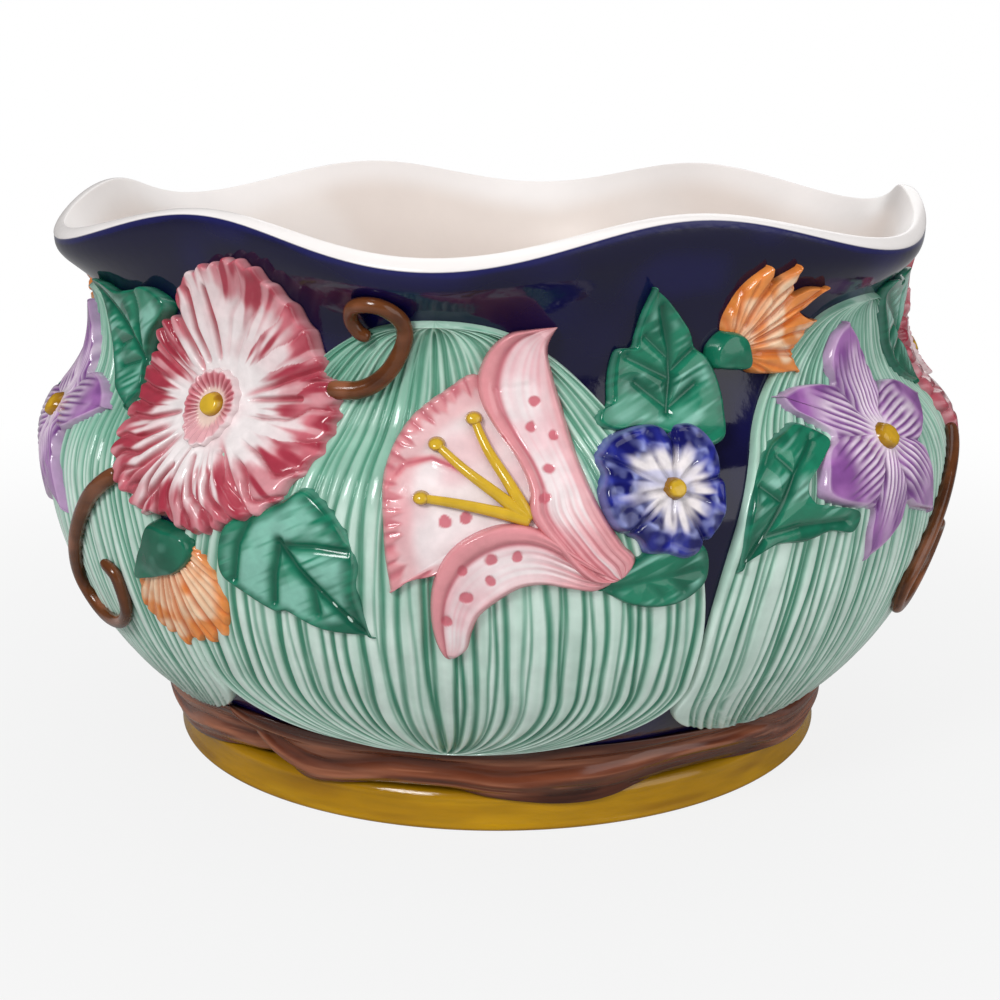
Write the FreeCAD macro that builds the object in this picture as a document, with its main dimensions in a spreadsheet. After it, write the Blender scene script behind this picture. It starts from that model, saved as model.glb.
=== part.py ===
"""Footed ceramic bowl planter with a waved lip, fluted fan leaves and applied flowers.

The bowl is turned, its lip is drawn into six waves, it stands on a separate foot ring, and the
fan leaves, branches, flowers, leaves, buds and tendrils are sprigs pressed onto its outside.
Lengths are millimetres, angles degrees. The axis is +Z, the foot rests on z = 0, and angles
round the bowl are counted from the front (-Y) towards the right (+X).
"""
import FreeCAD, Part
import Sketcher
import os
from math import atan, atan2, cos, degrees, hypot, pi, radians, sin, sqrt

Vec = FreeCAD.Vector
UP = Vec(0, 0, 1)
AXIS = Vec(0, 0, 0)
FULL_TURN = 360.0

# Driving sizes. Every length is set here once.
SIZES = {
    # bowl wall
    "belly_radius": 145.8,
    "belly_height": 97.0,
    "base_radius": 111.0,
    "base_height": 24.0,
    "neck_radius": 128.0,
    "neck_height": 139.0,
    "wall": 6.0,
    "floor_height": 18.0,
    "seat_radius": 106.0,
    "spigot_depth": 3.0,
    # waved lip, measured on its outer edge
    "rim_radius": 137.8,
    "rim_height": 171.8,
    "rim_wave_out": 4.2,
    "rim_wave_up": 5.6,
    "rim_waves": 6,
    "rim_turn": 23.0,
    "lip_wall": 4.6,
    "lip_crown": 0.9,
    # foot ring
    "foot_radius": 109.4,
    "foot_height": 13.0,
    "foot_bore": 92.0,
    "foot_round": 4.0,
    "spigot_gap": 0.2,
    # fan leaf panels
    "panel_low": 29.0,
    "panel_high": 153.0,
    "panel_half_angle": 29.7,
    "panel_thick": 2.4,
    "panel_root": 5.0,
    "pleat_depth": 0.9,
    "pleats": 11,
    # bark branches round the foot
    "branch_turn": -48.0,
    "branch_gap": 1.2,
    "branch_thick": 5.0,
    "branch_rise": 17.0,
    # sprigs
    "sprig_copies": 3,
    "seat_gap": 0.15,
    "sprig_depth": 40.0,
    "leaf_relief": 4.6,
    "petal_relief": 6.6,
    "crown_relief": 8.2,
    "groove_width": 1.5,
    "groove_depth": 1.2,
    "mallow_angle": -35.5,
    "mallow_height": 126.0,
    "mallow_tilt": 12.0,
    "mallow_reach": 40.0,
    "mallow_eye": 4.4,
    "lily_angle": -1.5,
    "lily_height": 107.0,
    "lily_tilt": 10.0,
    "lily_reach": 46.0,
    "stamen_radius": 1.1,
    "anther_radius": 2.3,
    "glory_angle": 18.0,
    "glory_height": 109.0,
    "glory_tilt": 14.0,
    "glory_reach": 19.0,
    "glory_eye": 3.2,
    "clematis_angle": 49.5,
    "clematis_height": 114.0,
    "clematis_tilt": 18.0,
    "clematis_reach": 35.0,
    "clematis_eye": 5.2,
    "ivy_angle": 19.0,
    "ivy_height": 142.0,
    "ivy_tilt": 14.0,
    "ivy_reach": 20.0,
    "top_bud_angle": 34.5,
    "top_bud_height": 150.0,
    "top_bud_tilt": 0.0,
    "top_bud_reach": 17.0,
    "low_bud_angle": -37.0,
    "low_bud_height": 78.0,
    "low_bud_tilt": -4.0,
    "low_bud_reach": 21.0,
    "heart_angle": -22.0,
    "heart_height": 88.0,
    "heart_tilt": 2.0,
    "heart_reach": 24.0,
    "back_leaf_angle": -54.0,
    "back_leaf_height": 140.0,
    "back_leaf_tilt": 14.0,
    "back_leaf_reach": 25.0,
    "lily_leaf_angle": 16.5,
    "lily_leaf_height": 87.0,
    "lily_leaf_tilt": 2.0,
    "lily_leaf_reach": 16.5,
    "clematis_leaf_angle": 33.0,
    "clematis_leaf_height": 107.0,
    "clematis_leaf_tilt": 12.0,
    "clematis_leaf_reach": 25.0,
    "upper_tendril_angle": -14.0,
    "upper_tendril_height": 146.0,
    "upper_tendril_tilt": 4.0,
    "upper_tendril_reach": 14.0,
    "lower_tendril_angle": -55.0,
    "lower_tendril_height": 76.0,
    "lower_tendril_tilt": 0.0,
    "lower_tendril_reach": 30.0,
    "tendril_width": 4.6,
}

# Outlines, as shares of each sprig's reach, seen from outside (right, up). A run of two points
# is a line, of three an arc, of more a curve; runs meet at corners.
MALLOW_SHARES = [
    [(-0.35, 0.62), (0.30, 0.99), (0.83, 0.35)],
    [(0.83, 0.35), (1.01, -0.15), (0.66, -0.66)],
    [(0.66, -0.66), (0.10, -0.86), (-0.48, -0.71)],
    [(-0.48, -0.71), (-0.77, -0.12), (-0.68, 0.40)],
    [(-0.68, 0.40), (-0.57, 0.58), (-0.35, 0.62)],
]
LILY_SHARES = [
    [(0.41, 1.00), (0.11, 0.97), (0.00, 0.83), (-0.04, 0.74)],
    [(-0.04, 0.74), (-0.35, 0.57), (-0.52, 0.35), (-0.56, 0.12), (-0.55, -0.20), (-0.52, -0.48)],
    [(-0.52, -0.48), (-0.30, -0.40)],
    [(-0.30, -0.40), (-0.28, -0.65), (-0.18, -0.88), (-0.08, -0.80), (0.05, -0.60), (0.26, -0.44),
     (0.65, -0.49)],
    [(0.65, -0.49), (0.87, -0.26)],
    [(0.87, -0.26), (0.58, 0.12), (0.45, 0.50), (0.35, 0.80)],
    [(0.35, 0.80), (0.41, 1.00)],
]
LILY_UPPER_SHARES = [
    [(0.38, 0.96), (0.13, 0.92), (0.03, 0.74), (0.06, 0.46), (0.22, 0.14), (0.30, -0.07)],
    [(0.30, -0.07), (0.62, -0.42)],
    [(0.62, -0.42), (0.82, -0.26)],
    [(0.82, -0.26), (0.55, 0.10), (0.42, 0.50), (0.38, 0.96)],
]
LILY_LOWER_SHARES = [
    [(0.28, -0.10), (-0.02, -0.14), (-0.22, -0.32), (-0.26, -0.62), (-0.18, -0.84)],
    [(-0.18, -0.84), (-0.04, -0.64), (0.24, -0.46), (0.58, -0.47)],
    [(0.58, -0.47), (0.28, -0.10)],
]
LILY_THROAT_SHARE = (0.26, -0.09)
LILY_ANTHER_SHARES = [(-0.05, 0.51), (-0.27, 0.36), (-0.35, 0.07)]
IVY_SHARES = [
    [(-0.15, 0.85), (0.16, 0.64), (0.44, 0.32), (0.52, 0.08)],
    [(0.52, 0.08), (0.78, 0.02)],
    [(0.78, 0.02), (0.86, -0.35), (0.92, -0.80), (0.76, -1.30)],
    [(0.76, -1.30), (0.00, -0.92)],
    [(0.00, -0.92), (-0.50, -0.92), (-0.90, -0.82), (-0.86, -0.60), (-0.68, -0.55)],
    [(-0.68, -0.55), (-0.68, -0.10), (-0.58, 0.12)],
    [(-0.58, 0.12), (-0.34, 0.16)],
    [(-0.34, 0.16), (-0.28, 0.50), (-0.15, 0.85)],
]
TOP_BUD_SHARES = [
    [(-0.92, -0.14), (-0.70, 0.45), (-0.32, 0.85)],
    [(-0.32, 0.85), (-0.18, 0.62)],
    [(-0.18, 0.62), (0.20, 0.83)],
    [(0.20, 0.83), (0.32, 0.36)],
    [(0.32, 0.36), (1.00, 0.42)],
    [(1.00, 0.42), (0.64, 0.04)],
    [(0.64, 0.04), (1.00, -0.14)],
    [(1.00, -0.14), (0.52, -0.58)],
    [(0.52, -0.58), (0.62, -0.94)],
    [(0.62, -0.94), (-0.10, -0.90), (-0.50, -0.76)],
    [(-0.50, -0.76), (-1.02, -0.74)],
    [(-1.02, -0.74), (-1.12, -0.40), (-0.92, -0.14)],
]
TOP_CALYX_SHARES = [
    [(-0.90, -0.16), (-0.52, -0.30), (-0.42, -0.72)],
    [(-0.42, -0.72), (-1.00, -0.70)],
    [(-1.00, -0.70), (-1.08, -0.42), (-0.90, -0.16)],
]
LOW_BUD_SHARES = [
    [(-0.76, 0.02), (-0.55, 0.46), (-0.33, 0.86)],
    [(-0.33, 0.86), (0.38, 0.76)],
    [(0.38, 0.76), (0.44, 0.50)],
    [(0.44, 0.50), (0.66, 0.44), (0.81, 0.14)],
    [(0.81, 0.14), (0.86, -0.20), (0.71, -0.62)],
    [(0.71, -0.62), (0.40, -0.80), (0.14, -0.81)],
    [(0.14, -0.81), (-0.14, -1.00), (-0.48, -0.82)],
    [(-0.48, -0.82), (-0.86, -0.45), (-0.76, 0.02)],
]
LOW_CALYX_SHARES = [
    [(-0.72, 0.02), (-0.54, 0.44), (-0.32, 0.83)],
    [(-0.32, 0.83), (0.36, 0.73)],
    [(0.36, 0.73), (0.40, 0.48)],
    [(0.40, 0.48), (-0.20, 0.10), (-0.72, 0.02)],
]
HEART_SHARES = [
    [(0.94, -0.71), (0.87, -0.40), (0.82, -0.12), (0.83, 0.20), (0.62, 0.64), (0.22, 0.98)],
    [(0.22, 0.98), (-0.02, 0.80), (-0.34, 0.62), (-0.74, 0.48), (-0.88, 0.16), (-0.86, -0.18),
     (-0.50, -0.38)],
    [(-0.50, -0.38), (-0.20, -0.55), (0.00, -0.52)],
    [(0.00, -0.52), (0.36, -0.68), (0.94, -0.71)],
]
BACK_LEAF_SHARES = [
    [(-0.76, 0.50), (-0.20, 0.48), (0.20, 0.52), (0.60, 0.60), (0.96, 0.44)],
    [(0.96, 0.44), (0.60, 0.10), (0.42, -0.20), (0.50, -0.60), (0.36, -0.84)],
    [(0.36, -0.84), (-0.10, -0.64), (-0.38, -0.36), (-0.56, 0.02), (-0.76, 0.50)],
]
LILY_LEAF_SHARES = [
    [(-1.00, -0.09), (-0.50, -0.40), (0.06, -0.50), (0.56, -0.36), (0.86, 0.00)],
    [(0.86, 0.00), (0.72, 0.52), (0.00, 0.56), (-0.60, 0.34), (-1.00, -0.09)],
]
CLEMATIS_LEAF_SHARES = [
    [(-0.76, -0.80), (-0.72, -0.30), (-0.52, 0.16), (-0.20, 0.48), (0.32, 0.68), (0.72, 0.44)],
    [(0.72, 0.44), (0.40, 0.24), (0.14, -0.08)],
    [(0.14, -0.08), (0.30, -0.32), (0.98, -0.44)],
    [(0.98, -0.44), (0.86, -0.66), (0.50, -0.58), (0.12, -0.64)],
    [(0.12, -0.64), (-0.36, -0.62), (-0.76, -0.80)],
]
CLEMATIS_PETAL_SHARES = [(95.0, 0.94), (153.0, 1.06), (200.0, 1.00), (252.0, 0.98), (315.0, 1.04), (25.0, 1.02)]
CLEMATIS_NOTCH_SHARE = 0.34
CLEMATIS_SHOULDER_SHARES = (0.60, 0.25)
UPPER_TENDRIL_SHARES = [(-0.86, -0.86), (-0.30, -0.88), (0.20, -0.60), (0.58, -0.08), (0.70, 0.44),
                        (0.48, 0.82), (0.05, 0.98), (-0.38, 0.90), (-0.50, 0.52), (-0.22, 0.28)]
LOWER_TENDRIL_SHARES = [(0.82, 1.02), (0.42, 0.76), (0.06, 0.42), (-0.32, 0.00), (-0.55, -0.40),
                        (-0.32, -0.68), (0.16, -0.66), (0.54, -0.42), (0.60, -0.06), (0.38, 0.06)]

# Fan leaf panel: heights as shares of its length, half widths as shares of its half angle.
PANEL_LEVEL_SHARES = (0.0, 0.02, 0.055, 0.11, 0.21, 0.38, 0.55, 0.63, 0.71, 0.80, 0.89, 0.955, 1.0)
PANEL_WIDTH_SHARES = (0.06, 0.36, 0.65, 0.88, 1.0, 0.985, 0.92, 0.87, 0.79, 0.66, 0.50, 0.32, 0.06)
PANEL_BACK_SHARES = (1.0, 0.6, 0.2, -0.2, -0.6, -1.0)
# Branch: along its length, top height and thickness as shares of its rise and thickness.
BRANCH_RISE_SHARES = (1.00, 0.92, 0.80, 0.72, 0.70, 0.76, 0.80)
BRANCH_THICK_SHARES = (1.00, 0.95, 0.88, 0.84, 0.84, 0.86, 0.80)
# Lip: heights of the lofted rings as shares of the way from neck to edge.
LIP_SHARES = (0.0, 0.46, 0.76, 1.0)
# How sharply the lip turns out, and then up again into its rolled edge.
LIP_TURN = 4
LIP_POINTS = 36

doc = FreeCAD.newDocument("bowl_planter")
sheet = doc.addObject("Spreadsheet::Sheet", "sizes")
for row, (alias, value) in enumerate(SIZES.items(), start=1):
    sheet.set(f"A{row}", alias)
    sheet.set(f"B{row}", str(value))
    sheet.setAlias(f"B{row}", alias)
doc.recompute()


def size(alias):
    """One driving size, read from the sheet."""
    return float(sheet.get(alias))


belly_r, belly_z = size("belly_radius"), size("belly_height")
base_r, base_z = size("base_radius"), size("base_height")
neck_r, neck_z = size("neck_radius"), size("neck_height")
wall = size("wall")
foot_height = size("foot_height")
spigot_low = foot_height - size("spigot_depth")
spigot_r = size("foot_bore") - size("spigot_gap")

# Meridian of the bowl's outside: one arc from base to belly, two equal arcs over the shoulder.
low_arc_r = ((belly_r - base_r) ** 2 + (belly_z - base_z) ** 2) / (2 * (belly_r - base_r))
bend = 2 * atan((belly_r - neck_r) / (neck_z - belly_z))
neck_arc_r = (neck_z - belly_z) / sin(bend) / 2
turn_z = (belly_z + neck_z) / 2
turn_r = (belly_r + neck_r) / 2
LOW_CENTRE = (belly_r - low_arc_r, belly_z)
SHOULDER_CENTRE = (belly_r - neck_arc_r, belly_z)
NECK_CENTRE = (neck_r + neck_arc_r, neck_z)


def rim(angle):
    """Radius and height of the lip's outer edge at an angle in radians."""
    wave = cos(size("rim_waves") * (angle - radians(size("rim_turn"))))
    return size("rim_radius") - size("rim_wave_out") * wave, size("rim_height") + size("rim_wave_up") * wave


def flare(share):
    """Share of its run that the lip's outside has turned out by, at a share of its rise."""
    return 1 - (1 - share ** LIP_TURN) ** LIP_TURN


def flare_rate(share):
    return LIP_TURN ** 2 * share ** (LIP_TURN - 1) * (1 - share ** LIP_TURN) ** (LIP_TURN - 1)


def outside(angle, z):
    """Radius of the bowl's outside at an angle and height."""
    if z <= belly_z:
        return LOW_CENTRE[0] + sqrt(low_arc_r ** 2 - min(belly_z - z, belly_z - base_z) ** 2)
    if z <= turn_z:
        return SHOULDER_CENTRE[0] + sqrt(neck_arc_r ** 2 - (z - belly_z) ** 2)
    if z <= neck_z:
        return NECK_CENTRE[0] - sqrt(neck_arc_r ** 2 - (neck_z - z) ** 2)
    edge_r, edge_z = rim(angle)
    rise = min((z - neck_z) / (edge_z - neck_z), 1.0)
    return neck_r + (edge_r - neck_r) * flare(rise)


def polar(angle, r, z):
    """Point at an angle from the front, a radius and a height."""
    return Vec(r * sin(angle), -r * cos(angle), z)


def solid_of(faces):
    """Close a set of faces into one solid."""
    shell = Part.Compound(faces)
    shell.sewShape()
    solid = Part.Solid(Part.Shell(shell.Faces))
    if solid.Volume < 0:
        solid.reverse()
    return solid


# Bowl: turned wall below the neck, from one half section.
def bowl_wall():
    body = doc.addObject("PartDesign::Body", "bowl_wall")
    sketch = body.newObject("Sketcher::SketchObject", "bowl_section")
    plane = [f for f in body.Origin.OriginFeatures if f.Role == "XZ_Plane"][0]
    sketch.AttachmentSupport = (plane, [""])
    sketch.MapMode = "FlatFace"
    floor_z = size("floor_height")
    floor_r = LOW_CENTRE[0] + sqrt((low_arc_r - wall) ** 2 - (belly_z - floor_z) ** 2)

    def at(r, z):
        return Vec(r, z, 0)

    def line(a, b):
        return sketch.addGeometry(Part.LineSegment(at(*a), at(*b)), False)

    def arc(centre, r, start, end):
        circle = Part.Circle(at(*centre), UP, r)
        return sketch.addGeometry(Part.ArcOfCircle(circle, start, end), False)

    low_start = atan2(base_z - belly_z, base_r - LOW_CENTRE[0])
    floor_start = atan2(floor_z - belly_z, floor_r - LOW_CENTRE[0])
    under = line((0, spigot_low), (spigot_r, spigot_low))
    spigot = line((spigot_r, spigot_low), (spigot_r, foot_height))
    seat = line((spigot_r, foot_height), (size("seat_radius"), foot_height))
    flank = line((size("seat_radius"), foot_height), (base_r, base_z))
    low = arc(LOW_CENTRE, low_arc_r, low_start, 0)
    shoulder = arc(SHOULDER_CENTRE, neck_arc_r, 0, bend)
    neck = arc(NECK_CENTRE, neck_arc_r, pi, pi + bend)
    top = line((neck_r, neck_z), (neck_r - wall, neck_z))
    neck_in = arc(NECK_CENTRE, neck_arc_r + wall, pi, pi + bend)
    shoulder_in = arc(SHOULDER_CENTRE, neck_arc_r - wall, 0, bend)
    low_in = arc(LOW_CENTRE, low_arc_r - wall, floor_start, 0)
    floor = line((floor_r, floor_z), (0, floor_z))
    axis = line((0, floor_z), (0, spigot_low))

    def join(kind, *ends):
        sketch.addConstraint(Sketcher.Constraint(kind, *ends))

    start, end, centre, origin = 1, 2, 3, (-1, 1)
    for a, b in ((under, spigot), (spigot, seat), (seat, flank), (floor, axis)):
        join("Coincident", a, end, b, start)
    join("Coincident", axis, end, under, start)
    join("Coincident", flank, end, low, start)
    join("Coincident", low, end, shoulder, start)
    join("Tangent", shoulder, end, neck, end)
    join("Coincident", neck, start, top, start)
    join("Coincident", top, end, neck_in, start)
    join("Tangent", neck_in, end, shoulder_in, end)
    join("Coincident", shoulder_in, start, low_in, end)
    join("Coincident", low_in, start, floor, start)
    join("Coincident", low, centre, low_in, centre)
    join("Coincident", shoulder, centre, shoulder_in, centre)
    join("Coincident", neck, centre, neck_in, centre)
    for a in (under, seat, top, floor):
        join("Horizontal", a)
    for a in (spigot, axis):
        join("Vertical", a)
    join("Horizontal", low, centre, low, end)
    join("Horizontal", shoulder, centre, shoulder, start)
    join("Horizontal", neck, centre, neck, start)
    join("Horizontal", shoulder_in, centre, shoulder_in, start)
    join("Equal", shoulder, neck)
    join("PointOnObject", under, start, -2)

    def drive(kind, name, ends, value, expression):
        index = sketch.addConstraint(Sketcher.Constraint(kind, *ends, value))
        sketch.renameConstraint(index, name)
        sketch.setExpression(f"Constraints.{name}", expression)

    drive("DistanceY", "spigot_low", (*origin, under, start), spigot_low,
          "sizes.foot_height - sizes.spigot_depth")
    drive("DistanceX", "spigot_radius", (*origin, under, end), spigot_r, "sizes.foot_bore - sizes.spigot_gap")
    drive("DistanceY", "seat_height", (*origin, spigot, end), foot_height, "sizes.foot_height")
    drive("DistanceX", "seat_radius", (*origin, seat, end), size("seat_radius"), "sizes.seat_radius")
    drive("DistanceX", "base_radius", (*origin, flank, end), base_r, "sizes.base_radius")
    drive("DistanceY", "base_height", (*origin, flank, end), base_z, "sizes.base_height")
    drive("DistanceX", "belly_radius", (*origin, low, end), belly_r, "sizes.belly_radius")
    drive("DistanceY", "belly_height", (*origin, low, end), belly_z, "sizes.belly_height")
    drive("DistanceX", "neck_radius", (*origin, neck, start), neck_r, "sizes.neck_radius")
    drive("DistanceY", "neck_height", (*origin, neck, start), neck_z, "sizes.neck_height")
    drive("DistanceX", "wall", (top, end, top, start), wall, "sizes.wall")
    drive("DistanceY", "floor_height", (*origin, floor, end), floor_z, "sizes.floor_height")
    doc.recompute()
    turned = body.newObject("PartDesign::Revolution", "turned_wall")
    turned.Profile = sketch
    turned.ReferenceAxis = (sketch, ["V_Axis"])
    turned.Angle = FULL_TURN
    doc.recompute()
    return body


# Waved lip: rings of points from the neck to the edge, with a rolled edge outside and an even flare inside.
def lip_point(angle, share, layer):
    edge_r, edge_z = rim(angle)
    run, rise = edge_r - neck_r, edge_z - neck_z
    lean = atan2(run * flare_rate(share), rise)
    return polar(angle, neck_r + run * flare(share) + layer * cos(lean), neck_z + rise * share - layer * sin(lean))


def lip_inner_point(angle, share):
    edge_r, edge_z = rim(angle)
    run, rise = edge_r - neck_r, edge_z - neck_z
    lean = atan2(2 * run * share, rise)
    inset = wall - (wall - size("lip_wall")) * share
    return polar(angle, neck_r + run * share ** 2 - inset * cos(lean), neck_z + rise * share + inset * sin(lean))


def ring(points):
    curve = Part.BSplineCurve()
    curve.interpolate(Points=points, PeriodicFlag=True)
    return Part.Wire([curve.toShape()])


def neck_ring(r):
    circle = Part.Circle(Vec(0, 0, neck_z), UP, r)
    circle.XAxis = Vec(0, -1, 0)
    return Part.Wire([circle.toShape()])


def lip_ring(share, layer):
    if share == 0:
        return neck_ring(neck_r + layer)
    return ring([lip_point(2 * pi * k / LIP_POINTS, share, layer) for k in range(LIP_POINTS)])


def lip_inner_ring(share):
    if share == 0:
        return neck_ring(neck_r - wall)
    return ring([lip_inner_point(2 * pi * k / LIP_POINTS, share) for k in range(LIP_POINTS)])


def lip_faces():
    outer = [lip_ring(share, 0) for share in LIP_SHARES]
    inner = [lip_inner_ring(share) for share in LIP_SHARES]
    crown = []
    for k in range(LIP_POINTS):
        angle = 2 * pi * k / LIP_POINTS
        a, b = lip_point(angle, 1, 0), lip_inner_point(angle, 1)
        across = (b - a).normalize()
        rise = polar(angle, across.z, 0) + UP * hypot(across.x, across.y)
        crown.append((a + b) / 2 + rise * size("lip_crown"))
    faces = Part.makeLoft(outer, False, False).Faces + Part.makeLoft(inner, False, False).Faces
    return faces + Part.makeLoft([outer[-1], ring(crown), inner[-1]], False, False).Faces


def bowl_body(wall_body):
    flat_top = [f for f in wall_body.Shape.Faces
                if abs(f.CenterOfMass.z - neck_z) < wall / 100 and abs(f.BoundBox.ZLength) < wall / 100]
    kept = [f for f in wall_body.Shape.Faces if not any(f.isSame(t) for t in flat_top)]
    feature = doc.addObject("Part::Feature", "bowl_body")
    feature.Shape = solid_of(kept + lip_faces())
    feature.Label = "bowl_body"
    return feature


# Space filled by the bowl and a layer of an even thickness over its outside.
def filled(layer):
    low_r, neck_in_r = low_arc_r + layer, neck_arc_r - layer
    lean = atan2(base_z - belly_z, base_r - LOW_CENTRE[0])

    def on(centre, r, angle):
        return Vec(centre[0] + r * cos(angle), 0, centre[1] + r * sin(angle))

    def arc(centre, r, a, b):
        return Part.Arc(on(centre, r, a), on(centre, r, (a + b) / 2), on(centre, r, b)).toShape()

    start = on(LOW_CENTRE, low_r, lean)
    heel = Vec(size("seat_radius") + layer, 0, foot_height)
    edges = [
        Part.LineSegment(Vec(0, 0, foot_height), heel).toShape(),
        Part.LineSegment(heel, start).toShape(),
        arc(LOW_CENTRE, low_r, lean, 0),
        arc(SHOULDER_CENTRE, neck_arc_r + layer, 0, bend),
        arc(NECK_CENTRE, neck_in_r, pi + bend, pi),
    ]
    turned = [e.revolve(AXIS, UP, FULL_TURN) for e in edges]
    faces = [f for shape in turned for f in shape.Faces]
    rings = [lip_ring(share, layer) for share in LIP_SHARES]
    lid_z = size("rim_height") + 3 * size("rim_wave_up")
    lid = Part.Circle(Vec(0, 0, lid_z), UP, size("rim_radius"))
    lid.XAxis = Vec(0, -1, 0)
    lid_wire = Part.Wire([lid.toShape()])
    faces += Part.makeLoft(rings, False, False).Faces
    faces += Part.makeLoft([rings[-1], lid_wire], False, True).Faces
    faces.append(Part.Face(lid_wire))
    return solid_of(faces)


# Foot ring, turned, with a rounded lower edge.
def foot_ring():
    body = doc.addObject("PartDesign::Body", "foot_ring")
    sketch = body.newObject("Sketcher::SketchObject", "foot_section")
    plane = [f for f in body.Origin.OriginFeatures if f.Role == "XZ_Plane"][0]
    sketch.AttachmentSupport = (plane, [""])
    sketch.MapMode = "FlatFace"
    bore, outer, round_r = size("foot_bore"), size("foot_radius"), size("foot_round")

    def line(a, b):
        return sketch.addGeometry(Part.LineSegment(Vec(*a, 0), Vec(*b, 0)), False)

    under = line((bore, 0), (outer - round_r, 0))
    circle = Part.Circle(Vec(outer - round_r, round_r, 0), UP, round_r)
    edge = sketch.addGeometry(Part.ArcOfCircle(circle, -pi / 2, 0), False)
    side = line((outer, round_r), (outer, foot_height))
    top = line((outer, foot_height), (bore, foot_height))
    inside = line((bore, foot_height), (bore, 0))
    start, end, origin = 1, 2, (-1, 1)

    def join(kind, *ends):
        sketch.addConstraint(Sketcher.Constraint(kind, *ends))

    join("Tangent", under, end, edge, start)
    join("Tangent", edge, end, side, start)
    join("Coincident", side, end, top, start)
    join("Coincident", top, end, inside, start)
    join("Coincident", inside, end, under, start)
    join("PointOnObject", under, start, -1)
    join("Horizontal", under)
    join("Horizontal", top)
    join("Vertical", side)
    join("Vertical", inside)

    def drive(kind, name, ends, value):
        index = sketch.addConstraint(Sketcher.Constraint(kind, *ends, value))
        sketch.renameConstraint(index, name)
        sketch.setExpression(f"Constraints.{name}", f"sizes.{name}")

    drive("DistanceX", "foot_bore", (*origin, under, start), bore)
    drive("DistanceX", "foot_radius", (*origin, side, end), outer)
    drive("DistanceY", "foot_height", (*origin, side, end), foot_height)
    drive("Radius", "foot_round", (edge,), round_r)
    doc.recompute()
    turned = body.newObject("PartDesign::Revolution", "turned_foot")
    turned.Profile = sketch
    turned.ReferenceAxis = (sketch, ["V_Axis"])
    turned.Angle = FULL_TURN
    doc.recompute()
    body.Label = "foot_ring"
    return body


# Fan leaf panel: level sections with pleats that run together at both ends.
def panel_blank(pleats, depth, thick):
    low, high = size("panel_low"), size("panel_high")
    middle = radians(size("rim_turn")) - pi / size("rim_waves")
    sections = []
    for level, width in zip(PANEL_LEVEL_SHARES, PANEL_WIDTH_SHARES):
        z = low + level * (high - low)
        half = radians(size("panel_half_angle")) * width

        def at(share, over):
            angle = middle + half * share
            return polar(angle, outside(angle, z) + over, z)

        points = []
        for k in range(2 * pleats + 1):
            points.append(at(k / pleats - 1, thick - depth * ((k + 1) % 2)))
        root = -size("panel_root")
        inner = [at(share, root) for share in PANEL_BACK_SHARES]
        sections.append(Part.makePolygon(points + inner + points[:1]))
    return Part.makeLoft(sections, True, True)


# Bark branch: upright sections along the foot, flat below, rounded outside.
def branch_blank():
    span = 2 * pi / size("sprig_copies") - size("branch_gap") / base_r
    count = len(BRANCH_RISE_SHARES)
    sections = []
    for k in range(count):
        angle = radians(size("branch_turn")) + span * k / (count - 1)
        rise = size("branch_rise") * BRANCH_RISE_SHARES[k]
        thick = size("branch_thick") * BRANCH_THICK_SHARES[k]
        top_z = foot_height + rise
        bulge_z = foot_height + rise / 2
        inner = size("seat_radius") - thick
        toe = polar(angle, size("foot_radius"), foot_height)
        bulge = polar(angle, outside(angle, max(bulge_z, base_z)) + thick / 2, bulge_z)
        crest = polar(angle, outside(angle, max(top_z, base_z)) + thick / 4, top_z)
        heel, back = polar(angle, inner, foot_height), polar(angle, inner, top_z)
        edges = [
            Part.LineSegment(heel, toe).toShape(),
            Part.Arc(toe, bulge, crest).toShape(),
            Part.LineSegment(crest, back).toShape(),
            Part.LineSegment(back, heel).toShape(),
        ]
        sections.append(Part.Wire(edges))
    return Part.makeLoft(sections, True, False)


# Sprigs: an outline drawn on the plane that touches the bowl at the sprig's middle.
def site(name):
    """Placement whose axes run right, up and outwards at the sprig's middle on the bowl."""
    angle, z = radians(size(f"{name}_angle")), size(f"{name}_height")
    tilt = radians(size(f"{name}_tilt"))
    right = Vec(cos(angle), sin(angle), 0)
    radial = polar(angle, 1, 0)
    out = radial * cos(tilt) + UP * sin(tilt)
    up = UP * cos(tilt) - radial * sin(tilt)
    frame = FreeCAD.Matrix(right.x, up.x, out.x, 0, right.y, up.y, out.y, 0, right.z, up.z, out.z, 0, 0, 0, 0, 1)
    place = FreeCAD.Placement(frame)
    place.Base = polar(angle, outside(angle, z), z)
    return place


def ground(place, u, v):
    """Height of the bowl's outside over the sprig's plane at one of its points."""
    out = place.Rotation.multVec(UP)
    point = place.multVec(Vec(u, v, 0))
    for _ in range(40):
        angle = atan2(point.x, -point.y)
        point = point - out * (hypot(point.x, point.y) - outside(angle, point.z)) * 0.7
    return (point - place.Base).dot(out)


def prism(place, runs, reach):
    edges = []
    for run in runs:
        points = [Vec(u * reach, v * reach, 0) for u, v in run]
        if len(points) == 2:
            edges.append(Part.LineSegment(*points).toShape())
        elif len(points) == 3:
            edges.append(Part.Arc(*points).toShape())
        else:
            curve = Part.BSplineCurve()
            curve.interpolate(points)
            edges.append(curve.toShape())
    depth = size("sprig_depth")
    face = Part.Face(Part.Wire(Part.__sortEdges__(edges)))
    face.translate(Vec(0, 0, -depth))
    block = face.extrude(Vec(0, 0, 2 * depth))
    block.Placement = place.multiply(block.Placement)
    return block


def groove(place, start, end, reach):
    """Upright slab along a line of the sprig's plane."""
    a, b = Vec(start[0] * reach, start[1] * reach, 0), Vec(end[0] * reach, end[1] * reach, 0)
    along = b - a
    width, depth = size("groove_width"), size("sprig_depth")
    slab = Part.makeBox(along.Length, width, 2 * depth, Vec(0, -width / 2, -depth))
    slab.Placement = place.multiply(FreeCAD.Placement(a, FreeCAD.Rotation(UP, degrees(atan2(along.y, along.x)))))
    return slab


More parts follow.
